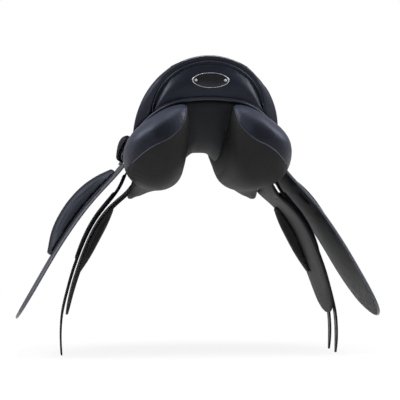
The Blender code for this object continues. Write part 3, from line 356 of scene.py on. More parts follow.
def evened(path, step, closed=False):
    """The path again as evenly spaced points."""
    points = path + path[:1] if closed else path
    lengths = [0.0]
    for a, b in zip(points, points[1:]):
        lengths.append(lengths[-1] + (b - a).length)
    count = max(2, round(lengths[-1] / step))
    out = []
    k = 0
    for n in range(count if closed else count + 1):
        target = lengths[-1] * n / count
        while k < len(points) - 2 and lengths[k + 1] < target:
            k += 1
        span = max(lengths[k + 1] - lengths[k], 1e-9)
        out.append(points[k].lerp(points[k + 1], (target - lengths[k]) / span))
    return out


def laid(path, skin, proud=0.0):
    """The path moved onto a skin, with the skin's normals."""
    out = []
    for point in path:
        hit, normal, _, _ = skin.find_nearest(point)
        out.append((hit + normal * proud, normal))
    return out


def around(sides):
    """Cosine and sine of even turns round a circle."""
    turns = [2 * math.pi * k / sides for k in range(sides)]
    return [(math.cos(turn), math.sin(turn)) for turn in turns]


def ring_faces(rings, sides, first=0, closed=False):
    """Faces between rings of points, and over both ends unless the last ring meets the first."""
    faces = []
    for i in range(rings if closed else rings - 1):
        near = first + i * sides
        far = first + (i + 1) % rings * sides
        for j in range(sides):
            after = (j + 1) % sides
            faces.append((near + j, near + after, far + after, far + j))
    if not closed:
        last = first + (rings - 1) * sides
        faces.append(tuple(first + j for j in reversed(range(sides))))
        faces.append(tuple(last + j for j in range(sides)))
    return faces


CORD_END_TAPER = 0.35


def piping(name, path, radius, sides=8, closed=False, normals=None):
    """Round cord along a path, tapered at its ends."""
    verts = []
    count = len(path)
    for k, point in enumerate(path):
        if closed:
            ahead = path[(k + 1) % count] - path[k - 1]
        else:
            ahead = path[min(k + 1, count - 1)] - path[max(k - 1, 0)]
        up = normals[k] if normals else Vector((0, 0, 1))
        side = ahead.cross(up).normalized()
        top = side.cross(ahead).normalized()
        size = radius if closed or 0 < k < count - 1 else radius * CORD_END_TAPER
        verts += [point + side * (size * c) + top * (size * s) for c, s in around(sides)]
    return mesh_piece(name, verts, ring_faces(count, sides, closed=closed))


def welted(name, line, skin, step, proud, radius):
    """Fine cord that follows a line on a skin."""
    on_skin = laid(evened(line, step), skin, proud)
    return piping(name, [point for point, _ in on_skin], radius, normals=[normal for _, normal in on_skin])


STITCH_SPACING = 0.0042
STITCH_LENGTH = 0.0031
THREAD_RADIUS = 0.00055
THREAD_SIDES = 5
STITCH_RINGS = ((-0.5, -0.9, 0.4), (-0.3, 0.35, 1.0), (0.3, 0.35, 1.0), (0.5, -0.9, 0.4))


def stitches(name, path, skin, spacing=STITCH_SPACING, length=STITCH_LENGTH, radius=THREAD_RADIUS,
             closed=False):
    """Row of single stitches that dip into the leather; a ring's shares are along, high and wide."""
    verts = []
    faces = []
    points = laid(evened(path, spacing, closed), skin)
    count = len(points)
    for k in range(count if closed else count - 1):
        here, normal = points[k]
        there, _ = points[(k + 1) % count]
        ahead = there - here
        if ahead.length < 1e-6:
            continue
        ahead.normalize()
        side = ahead.cross(normal).normalized()
        middle = here.lerp(there, 0.5)
        faces += ring_faces(len(STITCH_RINGS), THREAD_SIDES, len(verts))
        for along, high, wide in STITCH_RINGS:
            centre = middle + ahead * (length * along) + normal * (radius * high)
            verts += [centre + side * (radius * wide * c) + normal * (radius * wide * s)
                      for c, s in around(THREAD_SIDES)]
    return mesh_piece(name, verts, faces)


def waxed_thread(name, colour):
    """Waxed sewing thread: a hard twist with the light catching its strands."""
    g = Graph(name)
    twist = g.waves("DIAGONAL", 900.0, 1.0)
    shade = g.blend(twist, (*[c * 0.6 for c in colour], 1), (*colour, 1))
    return g.finish(shade, 0.5 + twist * 0.15, g.bump(twist, 0.4, 0.0001))


black_thread = waxed_thread("black_thread", (0.085, 0.088, 0.100))
seat = dress(refined("seat_hide", "seat_cover", 2, rim=0.0008), "seat_cover", seat_leather)
seat_skin = skin_of(seat)


def dropped(points, skin):
    """Points moved straight down onto a skin."""
    out = []
    for point in points:
        hit = skin.ray_cast(Vector((point.x, point.y, 1.0)), Vector((0, 0, -1)))[0]
        if hit:
            out.append(hit)
    return out


SEAM_LINE = ((0.190, 0.046), (0.160, 0.050), (0.120, 0.056), (0.080, 0.064), (0.030, 0.078),
             (-0.020, 0.092), (-0.070, 0.104), (-0.120, 0.112), (-0.160, 0.112), (-0.195, 0.104),
             (-0.222, 0.086), (-0.236, 0.060))
SEAM_TO_STITCHES = 0.0042


def curve_through(points, steps=8):
    """Smooth curve through a few points."""
    ends_twice = points[:1] + points + points[-1:]
    path = []
    for p0, p1, p2, p3 in zip(ends_twice, ends_twice[1:], ends_twice[2:], ends_twice[3:]):
        for step in range(steps):
            u = step / steps
            path.append(p1 + (p2 - p0) * (0.5 * u) + (p0 * 2 - p1 * 5 + p2 * 4 - p3) * (0.5 * u * u)
                        + (p1 * 3 - p0 - p2 * 3 + p3) * (0.5 * u ** 3))
    return path + points[-1:]


for suffix, side in SIDES:
    line = curve_through([Vector((x * side, y, 0)) for y, x in SEAM_LINE])
    seam = welted("seat_seam_" + suffix, dropped(line, seat_skin), seat_skin,
                  step=0.004, proud=0.0001, radius=0.0011)
    dress(seam, "seat_cover", seat_leather, stands_for=False)
    for word, shift in (("inner", -SEAM_TO_STITCHES), ("outer", SEAM_TO_STITCHES)):
        beside = dropped([Vector((point.x + shift * side, point.y, 0)) for point in line], seat_skin)
        row = stitches("seat_stitch_" + word + "_" + suffix, beside, seat_skin)
        dress(row, "seat_cover", black_thread, stands_for=False)


# Cantle facing and its cords
# The facing is a hide piece lightly padded, let in between the rim and the panel. A fine welt closes
# the seam under the rim, and a round leather cord covers the join with the panels.

facing_leather = hide_leather("facing_leather", (0.004, 0.0045, 0.008), (0.010, 0.011, 0.018),
                              rough=0.34, grain=0.00014, shine=0.22)
cord_leather = hide_leather("cord_leather", (0.009, 0.010, 0.015), (0.020, 0.022, 0.030),
                            rough=0.34, grain=0.00010, shine=0.30)
SEWN_EDGE = math.radians(30)
SEWN_MARGIN = 0.004


def relaxed(piece, rounds):
    """Evens out the broad faces of a piece; its sewn edges and what lies close to them stay."""
    shaped = bmesh.new()
    shaped.from_mesh(piece.data)
    edges = [edge for edge in shaped.edges if edge.calc_face_angle(0.0) > SEWN_EDGE]
    border = KDTree(len(edges))
    for k, edge in enumerate(edges):
        border.insert((edge.verts[0].co + edge.verts[1].co) / 2, k)
    border.balance()
    free = [vert for vert in shaped.verts if border.find(vert.co)[2] > SEWN_MARGIN]
    for _ in range(rounds):
        bmesh.ops.smooth_vert(shaped, verts=free, factor=0.5,
                              use_axis_x=True, use_axis_y=True, use_axis_z=True)
    shaped.to_mesh(piece.data)
    shaped.free()
    return piece


facing = refined("cantle_hide", "cantle_facing", 2, rim=0.0008)
dress(relaxed(facing, rounds=40), "cantle_facing", facing_leather)
welt = dress(refined("cantle_cord", "cantle_welt", 2), "cantle_welt", seat_leather)
binding = dress(refined("panel_cord", "panel_binding", 2), "panel_binding", cord_leather)
facing_skin = skin_of(facing)
welt_skin = skin_of(welt)
binding_skin = skin_of(binding)


def on_back(x, z, skin):
    """Point on a rear face at a place seen from behind, or None beside it."""
    return skin.ray_cast(Vector((x, -1.0, z)), Vector((0, 1, 0)))[0]


def first_hit(skin, places):
    """The first of the places at which the skin is met."""
    for x, z in places:
        hit = on_back(x, z, skin)
        if hit:
            return hit
    return None


SEAM_HALF_WIDTH = 0.121
SEAM_BASE_HEIGHT = 0.163
SEAM_RISE = 0.110
ARC_STITCH_INSET = 0.0105
ARC_STITCH_TURN = 76
ARC_STITCH_STEPS = 60


def on_arch(turn, inset):
    """Place seen from behind, at a turn from upright and the inset inside the facing's upper seam."""
    return ((SEAM_HALF_WIDTH - inset) * math.sin(turn),
            SEAM_BASE_HEIGHT + (SEAM_RISE - inset) * math.cos(turn))


def fan(half_turn, steps):
    """Even turns from one side of upright to the other."""
    return [math.radians(-half_turn + 2 * half_turn * k / steps) for k in range(steps + 1)]


dull_thread = waxed_thread("dull_thread", (0.016, 0.017, 0.022))
places = [on_arch(turn, ARC_STITCH_INSET) for turn in fan(ARC_STITCH_TURN, ARC_STITCH_STEPS)]
line = [hit for hit in (on_back(x, z, facing_skin) for x, z in places) if hit]
arc = stitches("cantle_stitch", line, facing_skin, spacing=0.0036, length=0.0027, radius=0.0004)
dress(arc, "cantle_facing", dull_thread, stands_for=False)


def groove_lips(columns, upper, lower):
    """Pairs of points on the lips of a groove: the first met in each column, from either end."""
    lips = [(first_hit(upper, column), first_hit(lower, column[::-1])) for column in columns]
    return [(above, below) for above, below in lips if above and below]


CORD_STEP = 0.004
CORD_TUCK = 0.6


def tucked_cord(name, lips, radius):
    """Cord pushed into the groove between two lips, a share of its radius deep."""
    middle = [above.lerp(below, 0.5) + Vector((0, radius * CORD_TUCK, 0)) for above, below in lips]
    cord = piping(name, evened(middle, CORD_STEP), radius, sides=10)
    dress(cord, "cantle_facing", seat_leather, stands_for=False)


GROOVE_TURN = 78
GROOVE_STEPS = 48
GROOVE_SEARCH = [0.0004 * s for s in range(40)]
GROOVE_ENDS = ((0.1175, -0.2125, 0.184), (0.1185, -0.2085, 0.172), (0.119, -0.205, 0.163))
columns = [[on_arch(turn, inset) for inset in GROOVE_SEARCH] for turn in fan(GROOVE_TURN, GROOVE_STEPS)]
left_end, right_end = ([(Vector((side * x, y, z)),) * 2 for x, y, z in GROOVE_ENDS] for _, side in SIDES)
lips = left_end[::-1] + groove_lips(columns, facing_skin, welt_skin) + right_end
tucked_cord("cantle_groove_cord", lips, radius=0.0021)

FOOT_HALF_WIDTH = 0.112
FOOT_STEPS = 48
FOOT_SEARCH = [0.145 + 0.0005 * s for s in range(110)]
columns = [[(FOOT_HALF_WIDTH * (2 * k / FOOT_STEPS - 1), z) for z in FOOT_SEARCH]
           for k in range(FOOT_STEPS + 1)]
lips = groove_lips(columns, facing_skin, binding_skin)
tucked_cord("facing_foot_cord", lips, radius=0.0016)


# Oval plate
# Plated brass with a polished raised rim round a plain field of dark enamel, bent to the curve of
# the cantle facing and held by a screw at each end.

bright_metal = plated("bright_metal", (0.50, 0.51, 0.54), rough=0.26)
screw_steel = plated("screw_steel", (0.48, 0.49, 0.51), rough=0.30)


def enamelled(name):
    """Black enamel field, faintly uneven."""
    g = Graph(name)
    cloud = g.noise(60.0, 3.0)
    ripple = g.bump(g.noise(300.0, 2.0), 0.08, 0.00005)
    colour = g.blend(cloud, (0.004, 0.004, 0.006, 1), (0.009, 0.009, 0.012, 1))
    return g.finish(colour, g.between(cloud, 0.16, 0.26), ripple, shine=0.25)


plate_enamel = enamelled("plate_enamel")

PLATE_LENGTH = 0.079
PLATE_HEIGHT = 0.032
PLATE_CENTRE_HEIGHT = 0.231
PLATE_ROOM = 0.0002
RIM_LEVELS = ((0.99, 0.0004), (1.0, 0.0012), (1.0, 0.0022), (0.988, 0.0027), (0.970, 0.0029),
              (0.952, 0.0027), (0.940, 0.0021), (0.930, 0.0018))
FIELD_LEVELS = ((0.926, 0.0016), (0.926, 0.0019), (0.91, 0.0020), (0.6, 0.0020), (0.3, 0.0020))


def plate_disc(name, levels, sides=72):
    """Oval disc bent to the facing; each level is its share of the size and how proud it stands."""
    verts = []
    for share, proud in levels:
        for c, s in around(sides):
            x = share * (PLATE_LENGTH / 2 - PLATE_ROOM) * c
            z = PLATE_CENTRE_HEIGHT + share * (PLATE_HEIGHT / 2 - PLATE_ROOM) * s
            verts.append(Vector((x, on_back(x, z, facing_skin).y - proud, z)))
    return mesh_piece(name, verts, ring_faces(len(levels), sides))


dress(plate_disc("plate_rim", RIM_LEVELS), "nameplate", bright_metal)
dress(plate_disc("plate_field", FIELD_LEVELS), "nameplate", plate_enamel, stands_for=False)

DOME = ((1.0, -0.3), (1.0, 0.15), (0.95, 0.45), (0.82, 0.72), (0.6, 0.9), (0.32, 1.0), (0.02, 1.02))
CUT_HALF_WIDTH = 0.17
CUT_REACH = 0.97
CUT_DEPTH = 0.55


def domed_head(name, centre, normal, radius, rise, sawn=False, sides=28):
    """Turned metal head in the profile of DOME, shares of radius and rise; a screw's has a saw cut."""
    side = normal.cross(Vector((0, 0, 1))).normalized()
    top = side.cross(normal).normalized()
    verts = []
    for share, high in DOME:
        for c, s in around(sides):
            cut = sawn and abs(share * s) < CUT_HALF_WIDTH and share < CUT_REACH
            point = centre + side * (radius * share * c) + top * (radius * share * s)
            verts.append(point + normal * (rise * (high - (CUT_DEPTH if cut else 0.0))))
    return mesh_piece(name, verts, ring_faces(len(DOME), sides))


SCREW_INSET = 0.0085
SCREW_SEAT = 0.0022
SCREW_RADIUS = 0.0027
SCREW_RISE = 0.0012
for suffix, side in SIDES:
    x = side * (PLATE_LENGTH / 2 - SCREW_INSET)
    y = on_back(x, PLATE_CENTRE_HEIGHT, facing_skin).y - SCREW_SEAT
    head = domed_head("plate_screw_head_" + suffix, Vector((x, y, PLATE_CENTRE_HEIGHT)), Vector((0, -1, 0)),
                      SCREW_RADIUS, SCREW_RISE, sawn=True, sides=36)
    dress(head, "plate_screw_" + suffix, screw_steel)


# Pommel nails
# A domed brass nail on each side of the pommel, plated to match the plate. They are driven through
# the cover into the head of the tree.

NAIL_RADIUS = 0.0055
NAIL_RISE = 0.0028
NAIL_SUNK = 0.0012
for suffix, _ in SIDES:
    low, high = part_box("pommel_nail_" + suffix)
    centre = (low + high) / 2
    _, normal, _, _ = seat_skin.find_nearest(centre)
    head = domed_head("pommel_nail_head_" + suffix, centre - normal * NAIL_SUNK, normal,
                      NAIL_RADIUS, NAIL_RISE)
    dress(head, "pommel_nail_" + suffix, bright_metal)


# Stuffed panels
# Two long soft leather cushions stuffed with wool, which swell where the stuffing is full. Each has
# a gusset let into its rear, whose seam is piped, and a pocket that takes the point of the tree.

def panel_hide(name, dark, light):
    """Unglazed lining hide: matt, with a soft crinkle where the stuffing pushes it."""
    g = Graph(name)
    tone = g.noise(18.0, 4.0, 0.6)
    colour = g.blend(tone, (*dark, 1), (*light, 1))
    crinkle = g.noise(120.0, 6.0, 0.62)
    pores = g.cells(900.0)
    normal = g.bump(pores, 0.35, 0.0002, g.bump(crinkle, 0.5, 0.0005))
    return g.finish(colour, g.between(tone, 0.52, 0.64) + pores * 0.03, normal, 0.10)


panel_leather = panel_hide("panel_leather", (0.0068, 0.0068, 0.0072), (0.0155, 0.0153, 0.0158))
flap_leather = hide_leather("flap_leather", (0.004, 0.0043, 0.007), (0.009, 0.0095, 0.014),
                            rough=0.42, grain=0.00020, shine=0.20)
INFLATING_FRAMES = 20
HIDE_INSIDE = 0.0005
HIDE_OUTSIDE = 0.0002


def stuffed(name, node, voxel, pressure, cap, with_node=None):
    """Cushion blown up from a node's solid: remeshed, inflated as cloth, its movement capped."""
    piece = refined(name, node, 1)
    if with_node:
        other = refined(name + "_part", with_node, 1)
        shaped = bmesh.new()
        shaped.from_mesh(piece.data)
        shaped.from_mesh(other.data)
        shaped.to_mesh(piece.data)
        shaped.free()
        bpy.data.objects.remove(other, do_unlink=True)
    solid_skin = skin_of(piece)
    bpy.context.view_layer.objects.active = piece
    remesh = piece.modifiers.new("weave", "REMESH")
    remesh.mode = "VOXEL"
    remesh.voxel_size = voxel
    applied(piece)
    for vert in piece.data.vertices:
        vert.co -= vert.normal * HIDE_INSIDE
    start = [vert.co.copy() for vert in piece.data.vertices]
    cloth = piece.modifiers.new("air", "CLOTH")
    cloth.settings.use_pressure = True
    cloth.settings.uniform_pressure_force = pressure
    cloth.settings.effector_weights.gravity = 0.0
    cloth.settings.tension_stiffness = 20.0
    cloth.settings.bending_stiffness = 1.0
    cloth.point_cache.frame_start = 1
    cloth.point_cache.frame_end = INFLATING_FRAMES
    for frame_number in range(1, INFLATING_FRAMES + 1):
        bpy.context.scene.frame_set(frame_number)
    applied(piece)
    bpy.context.scene.frame_set(1)
    for vert, rest in zip(piece.data.vertices, start):
        step = vert.co - rest
        if step.length > cap:
            vert.co = rest + step.normalized() * cap
    piece.data.update()
    smooth = piece.modifiers.new("ease", "SMOOTH")
    smooth.iterations = 3
    piece.modifiers.new("divide", "SUBSURF").levels = 1
    applied(piece)
    for vert in piece.data.vertices:
        hit, normal, _, _ = solid_skin.find_nearest(vert.co)
        if (vert.co - hit).dot(normal) < 0:
            vert.co = hit + normal * HIDE_OUTSIDE
    return piece


GUSSET_SEAM = ((0.048, 0.190), (0.051, 0.174), (0.054, 0.157), (0.060, 0.138), (0.073, 0.122), (0.092, 0.106),
               (0.123, 0.091), (0.145, 0.075), (0.164, 0.057), (0.200, 0.020))
GUSSET_FRONT_Y = -0.135
CUT_MARGIN = 0.010
CUT_TOLERANCE = 0.0002


def seam_height(x):
    """Height of the gusset's lower seam at a distance from the centre."""
    reach = abs(x)
    for (x0, z0), (x1, z1) in zip(GUSSET_SEAM, GUSSET_SEAM[1:]):
        if reach <= x1:
            return z0 + (z1 - z0) * (reach - x0) / (x1 - x0)
    return GUSSET_SEAM[-1][1]


def pieced(cushion, side):
    """Cuts the cushion's hide along the gusset's seam and gives the gusset its own leather."""
    shaped = bmesh.new()
    shaped.from_mesh(cushion.data)
    cuts = [(Vector((x0 * side, 0, z0)), Vector((-(z1 - z0), 0, (x1 - x0) * side)))
            for (x0, z0), (x1, z1) in zip(GUSSET_SEAM, GUSSET_SEAM[1:])]
    cuts.append((Vector((0, GUSSET_FRONT_Y, 0)), Vector((0, 1, 0))))
    for place, across in cuts:
        rear = [face for face in shaped.faces if face.calc_center_median().y < GUSSET_FRONT_Y + CUT_MARGIN]
        geometry = set(rear)
        for face in rear:
            geometry.update(face.edges)
            geometry.update(face.verts)
        bmesh.ops.bisect_plane(shaped, geom=list(geometry), plane_co=place, plane_no=across,
                               dist=CUT_TOLERANCE)
    for face in shaped.faces:
        middle = face.calc_center_median()
        face.smooth = True
        inside = abs(middle.x) > GUSSET_SEAM[0][0] and middle.y < GUSSET_FRONT_Y
        face.material_index = 1 if inside and middle.z > seam_height(middle.x) else 0
    shaped.to_mesh(cushion.data)
    shaped.free()


# The gusset's pale blue where it faces up or sideways is painted light; its near-black where it faces down is
# painted shade.
gusset_leather = hide_leather("gusset_leather", (0.018, 0.020, 0.031), (0.036, 0.040, 0.060),
                              rough=0.38, grain=0.00014, shine=0.20, painted_shade_below=(0.005, 0.0055, 0.008))
seam_cord = hide_leather("seam_cord", (0.020, 0.022, 0.030), (0.045, 0.048, 0.060),
                         rough=0.36, grain=0.00006, shine=0.40)
for suffix, side in SIDES:
    panel, gusset, pocket = "panel_" + suffix, "gusset_" + suffix, "point_pocket_" + suffix
    cushion = stuffed("panel_cushion_" + suffix, panel, voxel=0.0055, pressure=4.0, cap=0.004,
                      with_node=gusset)
    dress(cushion, panel, panel_leather)
    cushion.data.materials.append(gusset_leather)
    pieced(cushion, side)
    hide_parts(gusset)
    skin = skin_of(cushion)
    seam = curve_through([Vector((x * side, 0, z)) for x, z in GUSSET_SEAM[:-1]], 6)
    line = [hit for hit in (on_back(point.x, point.z, skin) for point in seam) if hit]
    cord = welted("gusset_piping_" + suffix, line, skin, step=0.003, proud=0.0003, radius=0.0011)
    dress(cord, gusset, seam_cord, stands_for=False)
    dress(refined("point_pocket_hide_" + suffix, pocket, 2, rim=0.0005), pocket, flap_leather)


# Gullet lining and head facing
# The ceiling of the channel is one leather, glued up between the panels and turned over a stiff band
# at its rear end. The head facing is a hide piece sewn over the front of the pommel.

CHANNEL_REAR_END = -0.2235
CHANNEL_FRONT_END = 0.187
CHANNEL_FLAT = 0.014
CHANNEL_ROUND = 0.022
CHANNEL_DROP = 0.018
CHANNEL_REAR_Y = -0.170
CHANNEL_EASE = 0.060
LINING_THICKNESS = 0.0025
UPPER_FACE = 0.001
REAR_LIFT = 0.004


def clamp(value):
    """The value, held between 0 and 1."""
    return max(0.0, min(1.0, value))


lining_leather = panel_hide("lining_leather", (0.007, 0.0075, 0.009), (0.014, 0.015, 0.018))
channel = refined("channel_lining", "gullet_lining", 2, rim=0.0006)
ceiling_skin = skin_of(channel)
for vert in channel.data.vertices:
    y = max(CHANNEL_REAR_END, min(CHANNEL_FRONT_END, vert.co.y))
    ceiling = ceiling_skin.ray_cast(Vector((0, y, -0.2)), Vector((0, 0, 1)))[0].z
    share = clamp((abs(vert.co.x) - CHANNEL_FLAT) / CHANNEL_ROUND)
    waist = clamp((vert.co.y - CHANNEL_REAR_Y) / CHANNEL_EASE)
    highest = ceiling - CHANNEL_DROP * waist * share ** 1.4
    if vert.co.z > ceiling + UPPER_FACE or vert.normal.z > 0.3:
        highest += LINING_THICKNESS
    if waist < 0.01:
        highest += REAR_LIFT
    vert.co.z = min(vert.co.z, highest)
dress(channel, "gullet_lining", lining_leather)

BAND_HALF_WIDTH = 0.066
BAND_REAR_Y = -0.2265
BAND_FRONT_Y = -0.2225
BAND_TOP = 0.1925
BAND_FOOT = 0.1765
BAND_TOP_ARC = 1.3
BAND_FOOT_ARC = 0.9
BAND_STEPS = 24
verts = []
for k in range(BAND_STEPS + 1):
    x = BAND_HALF_WIDTH * (2 * k / BAND_STEPS - 1)
    top = BAND_TOP - BAND_TOP_ARC * x * x
    foot = BAND_FOOT - BAND_FOOT_ARC * x * x
    verts += [(x, BAND_REAR_Y, top), (x, BAND_REAR_Y, foot), (x, BAND_FRONT_Y, foot), (x, BAND_FRONT_Y, top)]
band = mesh_piece("channel_end_band", verts, ring_faces(BAND_STEPS + 1, 4))
dress(band, "gullet_lining", lining_leather, stands_for=False)
dress(refined("head_hide", "head_facing", 2, rim=0.0006), "head_facing", seat_leather)


# Skirts, flaps and their blocks
# Each flap is one thick hide with a stitched and painted edge, a slot rimmed with leather for the end
# of the stirrup leather, and a long padded block down its front. A skirt covers the bar above it.

BROAD_FACE_BEND = math.radians(40)


def face_outlines(piece):
    """Outlines of the piece's two broad faces, each as a closed line of points with its mean normal."""
    shaped = bmesh.new()
    shaped.from_mesh(piece.data)
    shaped.faces.ensure_lookup_table()
    left = set(range(len(shaped.faces)))
    regions = []
    while left:
        stack = [left.pop()]
        region = set(stack)
        while stack:
            for edge in shaped.faces[stack.pop()].edges:
                if edge.calc_face_angle(math.pi) < BROAD_FACE_BEND:
                    for face in edge.link_faces:
                        if face.index in left:
                            left.discard(face.index)
                            region.add(face.index)
                            stack.append(face.index)
        regions.append(region)
    regions.sort(key=lambda region: -sum(shaped.faces[k].calc_area() for k in region))
    outlines = []
    for region in regions[:2]:
        follow = {}
        normal = Vector()
        for k in region:
            face = shaped.faces[k]
            normal += face.normal * face.calc_area()
            for loop in face.loops:
                if not all(other.index in region for other in loop.edge.link_faces):
                    follow[loop.vert.index] = loop.link_loop_next.vert.index
        shaped.verts.ensure_lookup_table()
        lines = []
        while follow:
            start, step = follow.popitem()
            line = [start]
            while step != start and step in follow:
                line.append(step)
                step = follow.pop(step)
            lines.append([shaped.verts[n].co.copy() for n in line])
        lines.sort(key=lambda line: -sum((b - a).length for a, b in zip(line, line[1:])))
        outlines.append((lines[0], normal.normalized()))
    shaped.free()
    return outlines


def inset(line, normal, skin, distance):
    """The outline of a broad face with that normal, moved over the skin towards its inside."""
    out = []
    count = len(line)
    for k, point in enumerate(line):
        ahead = (line[(k + 1) % count] - line[k - 1]).normalized()
        local = skin.find_nearest(point + normal.cross(ahead).normalized() * distance)[1]
        out.append(skin.find_nearest(point + local.cross(ahead).normalized() * distance)[0])
    return out


edge_paint = hide_leather("edge_paint", (0.030, 0.032, 0.038), (0.065, 0.068, 0.078),
                          rough=0.34, grain=0.00006, shine=0.5)
OUTLINE_STEP = 0.004


def outlines_of(node, levels):
    """Outlines of a node's two broad faces, the larger first."""
    plain = refined("outline", node, levels)
    outlines = face_outlines(plain)
    bpy.data.objects.remove(plain, do_unlink=True)
    return outlines


def edged_sheet(name, node, suffix, material, rim, stitch_inset, levels=2, edge_radius=0.0):
    """Hide sheet with stitches inside its edge; a radius gives it a round painted edge."""
    side = dict(SIDES)[suffix]
    node = node + "_" + suffix
    sheet = dress(refined(name + "_" + suffix, node, levels, rim=rim), node, material)
    outlines = sorted(outlines_of(node, levels), key=lambda found: -(found[1].x * side + found[1].z))
    (outer, outward), (inner, _) = outlines
    line = evened(outer, OUTLINE_STEP, closed=True)
    if edge_radius:
        opposite = [min(inner, key=lambda other: (other - point).length_squared) for point in line]
        centre = [point.lerp(across, 0.5) for point, across in zip(line, opposite)]
        trim = piping(name + "_edge_" + suffix, centre, edge_radius, sides=10, closed=True)
        dress(trim, node, edge_paint, stands_for=False)
    skin = skin_of(sheet)
    row = stitches(name + "_stitch0_" + suffix, inset(line, outward, skin, stitch_inset), skin, closed=True)
    dress(row, node, black_thread, stands_for=False)
    return sheet


FOOT_SEAM_RADIUS = 0.0019
FOOT_SEAM_INSET = 0.0012


def foot_seam(name, node, base, material):
    """Cord sewn round the foot of a block or pad, where it is turned in on the hide under it."""
    foot, inward = outlines_of(node, 2)[1]
    outline = evened(foot[::-1], OUTLINE_STEP, closed=True)
    line = inset(outline, -inward, skin_of(nodes[base]), FOOT_SEAM_INSET)
    dress(piping(name, line, FOOT_SEAM_RADIUS, closed=True), node, material, stands_for=False)


def two_sided(name, dark, light, flesh_shaded_top, flesh_lit_low):
    """Flap hide: glazed outside; its flesh side is matt, near-black at the top as painted shade and greyer
    towards its lower edge as painted light from below.
    """
    g = Graph(name)
    tone = g.noise(14.0, 4.0, 0.55)
    height = g.along("Z", g.place())
    outside = (g.along("X", g.place()) * g.along("X", g.facing()) * 400.0 + 0.5).clamped()
    # Painted shade and light: dark high on the flesh side, grey low down, by height.
    painted_shade_to_light = (height * -7.0 - 0.6 + tone * 0.5).clamped()
    flesh = g.blend(painted_shade_to_light, (*flesh_shaded_top, 1), (*flesh_lit_low, 1))
    colour = g.blend(outside, flesh, g.blend(tone, (*dark, 1), (*light, 1)))
    pebble = g.cells(760.0)
    nap = g.noise(340.0, 5.0, 0.65)
    normal = g.bump(pebble, 0.5, 0.00020, g.bump(nap, 0.4, 0.0002))
    rough = g.between(outside, 0.62, 0.40) + g.noise(55.0, 4.0) * 0.08
    return g.finish(colour, rough, normal, 0.16, BLUE_SHINE)


# The flesh side's near-black at the top is painted shade; its grey near the lower edge is painted light from
# below.
flap_hide = two_sided("flap_hide_leather", (0.004, 0.0043, 0.007), (0.009, 0.0095, 0.014),
                      (0.005, 0.005, 0.0055), (0.045, 0.045, 0.046))

SLOT_HALF_WIDTH = 0.0052
SLOT_HALF_HEIGHT = 0.0145
RIM_MARGIN_HIGH = 0.0012
RIM_MARGIN_WIDE = 0.0004
RIM_SUNK = 0.0012
SLOT_RIM_RINGS = ((1.0, 0.0002), (1.0, 0.0016), (0.97, 0.0022), (0.60, 0.0026), (0.06, 0.0023), (0.0, 0.0012),
                  (0.0, 0.0002))


def slot_rim(suffix, side, sides=48):
    """Leather patch sewn round the slot: a rounded plate with an almond opening that stands upright."""
    low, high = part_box("keeper_" + suffix)
    centre = (low + high) / 2
    down = Vector((side * (high.x - low.x), 0, low.z - high.z)).normalized()
    out = Vector((abs(down.z) * side, 0, abs(down.x)))
    half_high = math.hypot(high.x - low.x, high.z - low.z) / 2 - RIM_MARGIN_HIGH
    half_wide = (high.y - low.y) / 2 - RIM_MARGIN_WIDE
    verts = []
    for share, proud in SLOT_RIM_RINGS:
        for c, s in around(sides):
            stretch = (abs(c) ** 4 + abs(s) ** 4) ** -0.25
            almond_y, almond_run = SLOT_HALF_WIDTH * c * abs(c) ** 0.25, SLOT_HALF_HEIGHT * s
            y = almond_y + (half_wide * c * stretch - almond_y) * share
            run = almond_run + (half_high * s * stretch - almond_run) * share
            verts.append(centre + Vector((0, y, 0)) + down * run + out * (proud - RIM_SUNK))
    rim = mesh_piece("slot_rim_" + suffix, verts, ring_faces(len(SLOT_RIM_RINGS), sides, closed=True))
    dress(rim, "keeper_" + suffix, flap_leather)


for suffix, side in SIDES:
    flap, block = "flap_" + suffix, "thigh_block_" + suffix
    edged_sheet("skirt_hide", "skirt", suffix, flap_leather, rim=0.0006, stitch_inset=0.006)
    edged_sheet("flap_hide", "flap", suffix, flap_hide, rim=0.0010, stitch_inset=0.0075, edge_radius=0.0027)
    cushion = stuffed("block_pad_" + suffix, block, voxel=0.0045, pressure=3.0, cap=0.002)
    dress(cushion, block, flap_leather)
    foot_seam("block_seam_" + suffix, block, flap, flap_leather)
    slot_rim(suffix, side)


# Sweat flaps and knee pads
# The under-flap is a softer unglazed hide, sewn to the panel, that keeps the straps off the horse.
# A pad of the panel's leather, stuffed firm, is sewn to it against the shoulder.

inner_leather = panel_hide("inner_leather", (0.0095, 0.0095, 0.010), (0.021, 0.021, 0.022))
for suffix, _ in SIDES:
    flap, pad = "sweat_flap_" + suffix, "knee_pad_" + suffix
    edged_sheet("under_flap", "sweat_flap", suffix, inner_leather, rim=0.0009, stitch_inset=0.007)
    cushion = stuffed("shoulder_pad_" + suffix, pad, voxel=0.0045, pressure=3.0, cap=0.002)
    dress(cushion, pad, panel_leather)
    foot_seam("pad_seam_" + suffix, pad, flap, panel_leather)


# Girth straps
# Two long billets a side of doubled leather, stitched down both edges and punched with oval holes.
# They hang from the side web, through a guard that keeps their buckles off the flap.

HOLE_PITCH = 0.025
HOLE_FIRST = 0.0255
HOLE_LAST_HEIGHT = -0.175
HOLE_HALF_LENGTH = 0.0032
HOLE_HALF_WIDTH = 0.0021
HOLE_SIDES = 20
TIP_MARGIN = 0.004
RULER_STEP = 0.0005
PUNCH_ENDS = (0.003, -0.008)
HOLE_EDGE = math.radians(45)


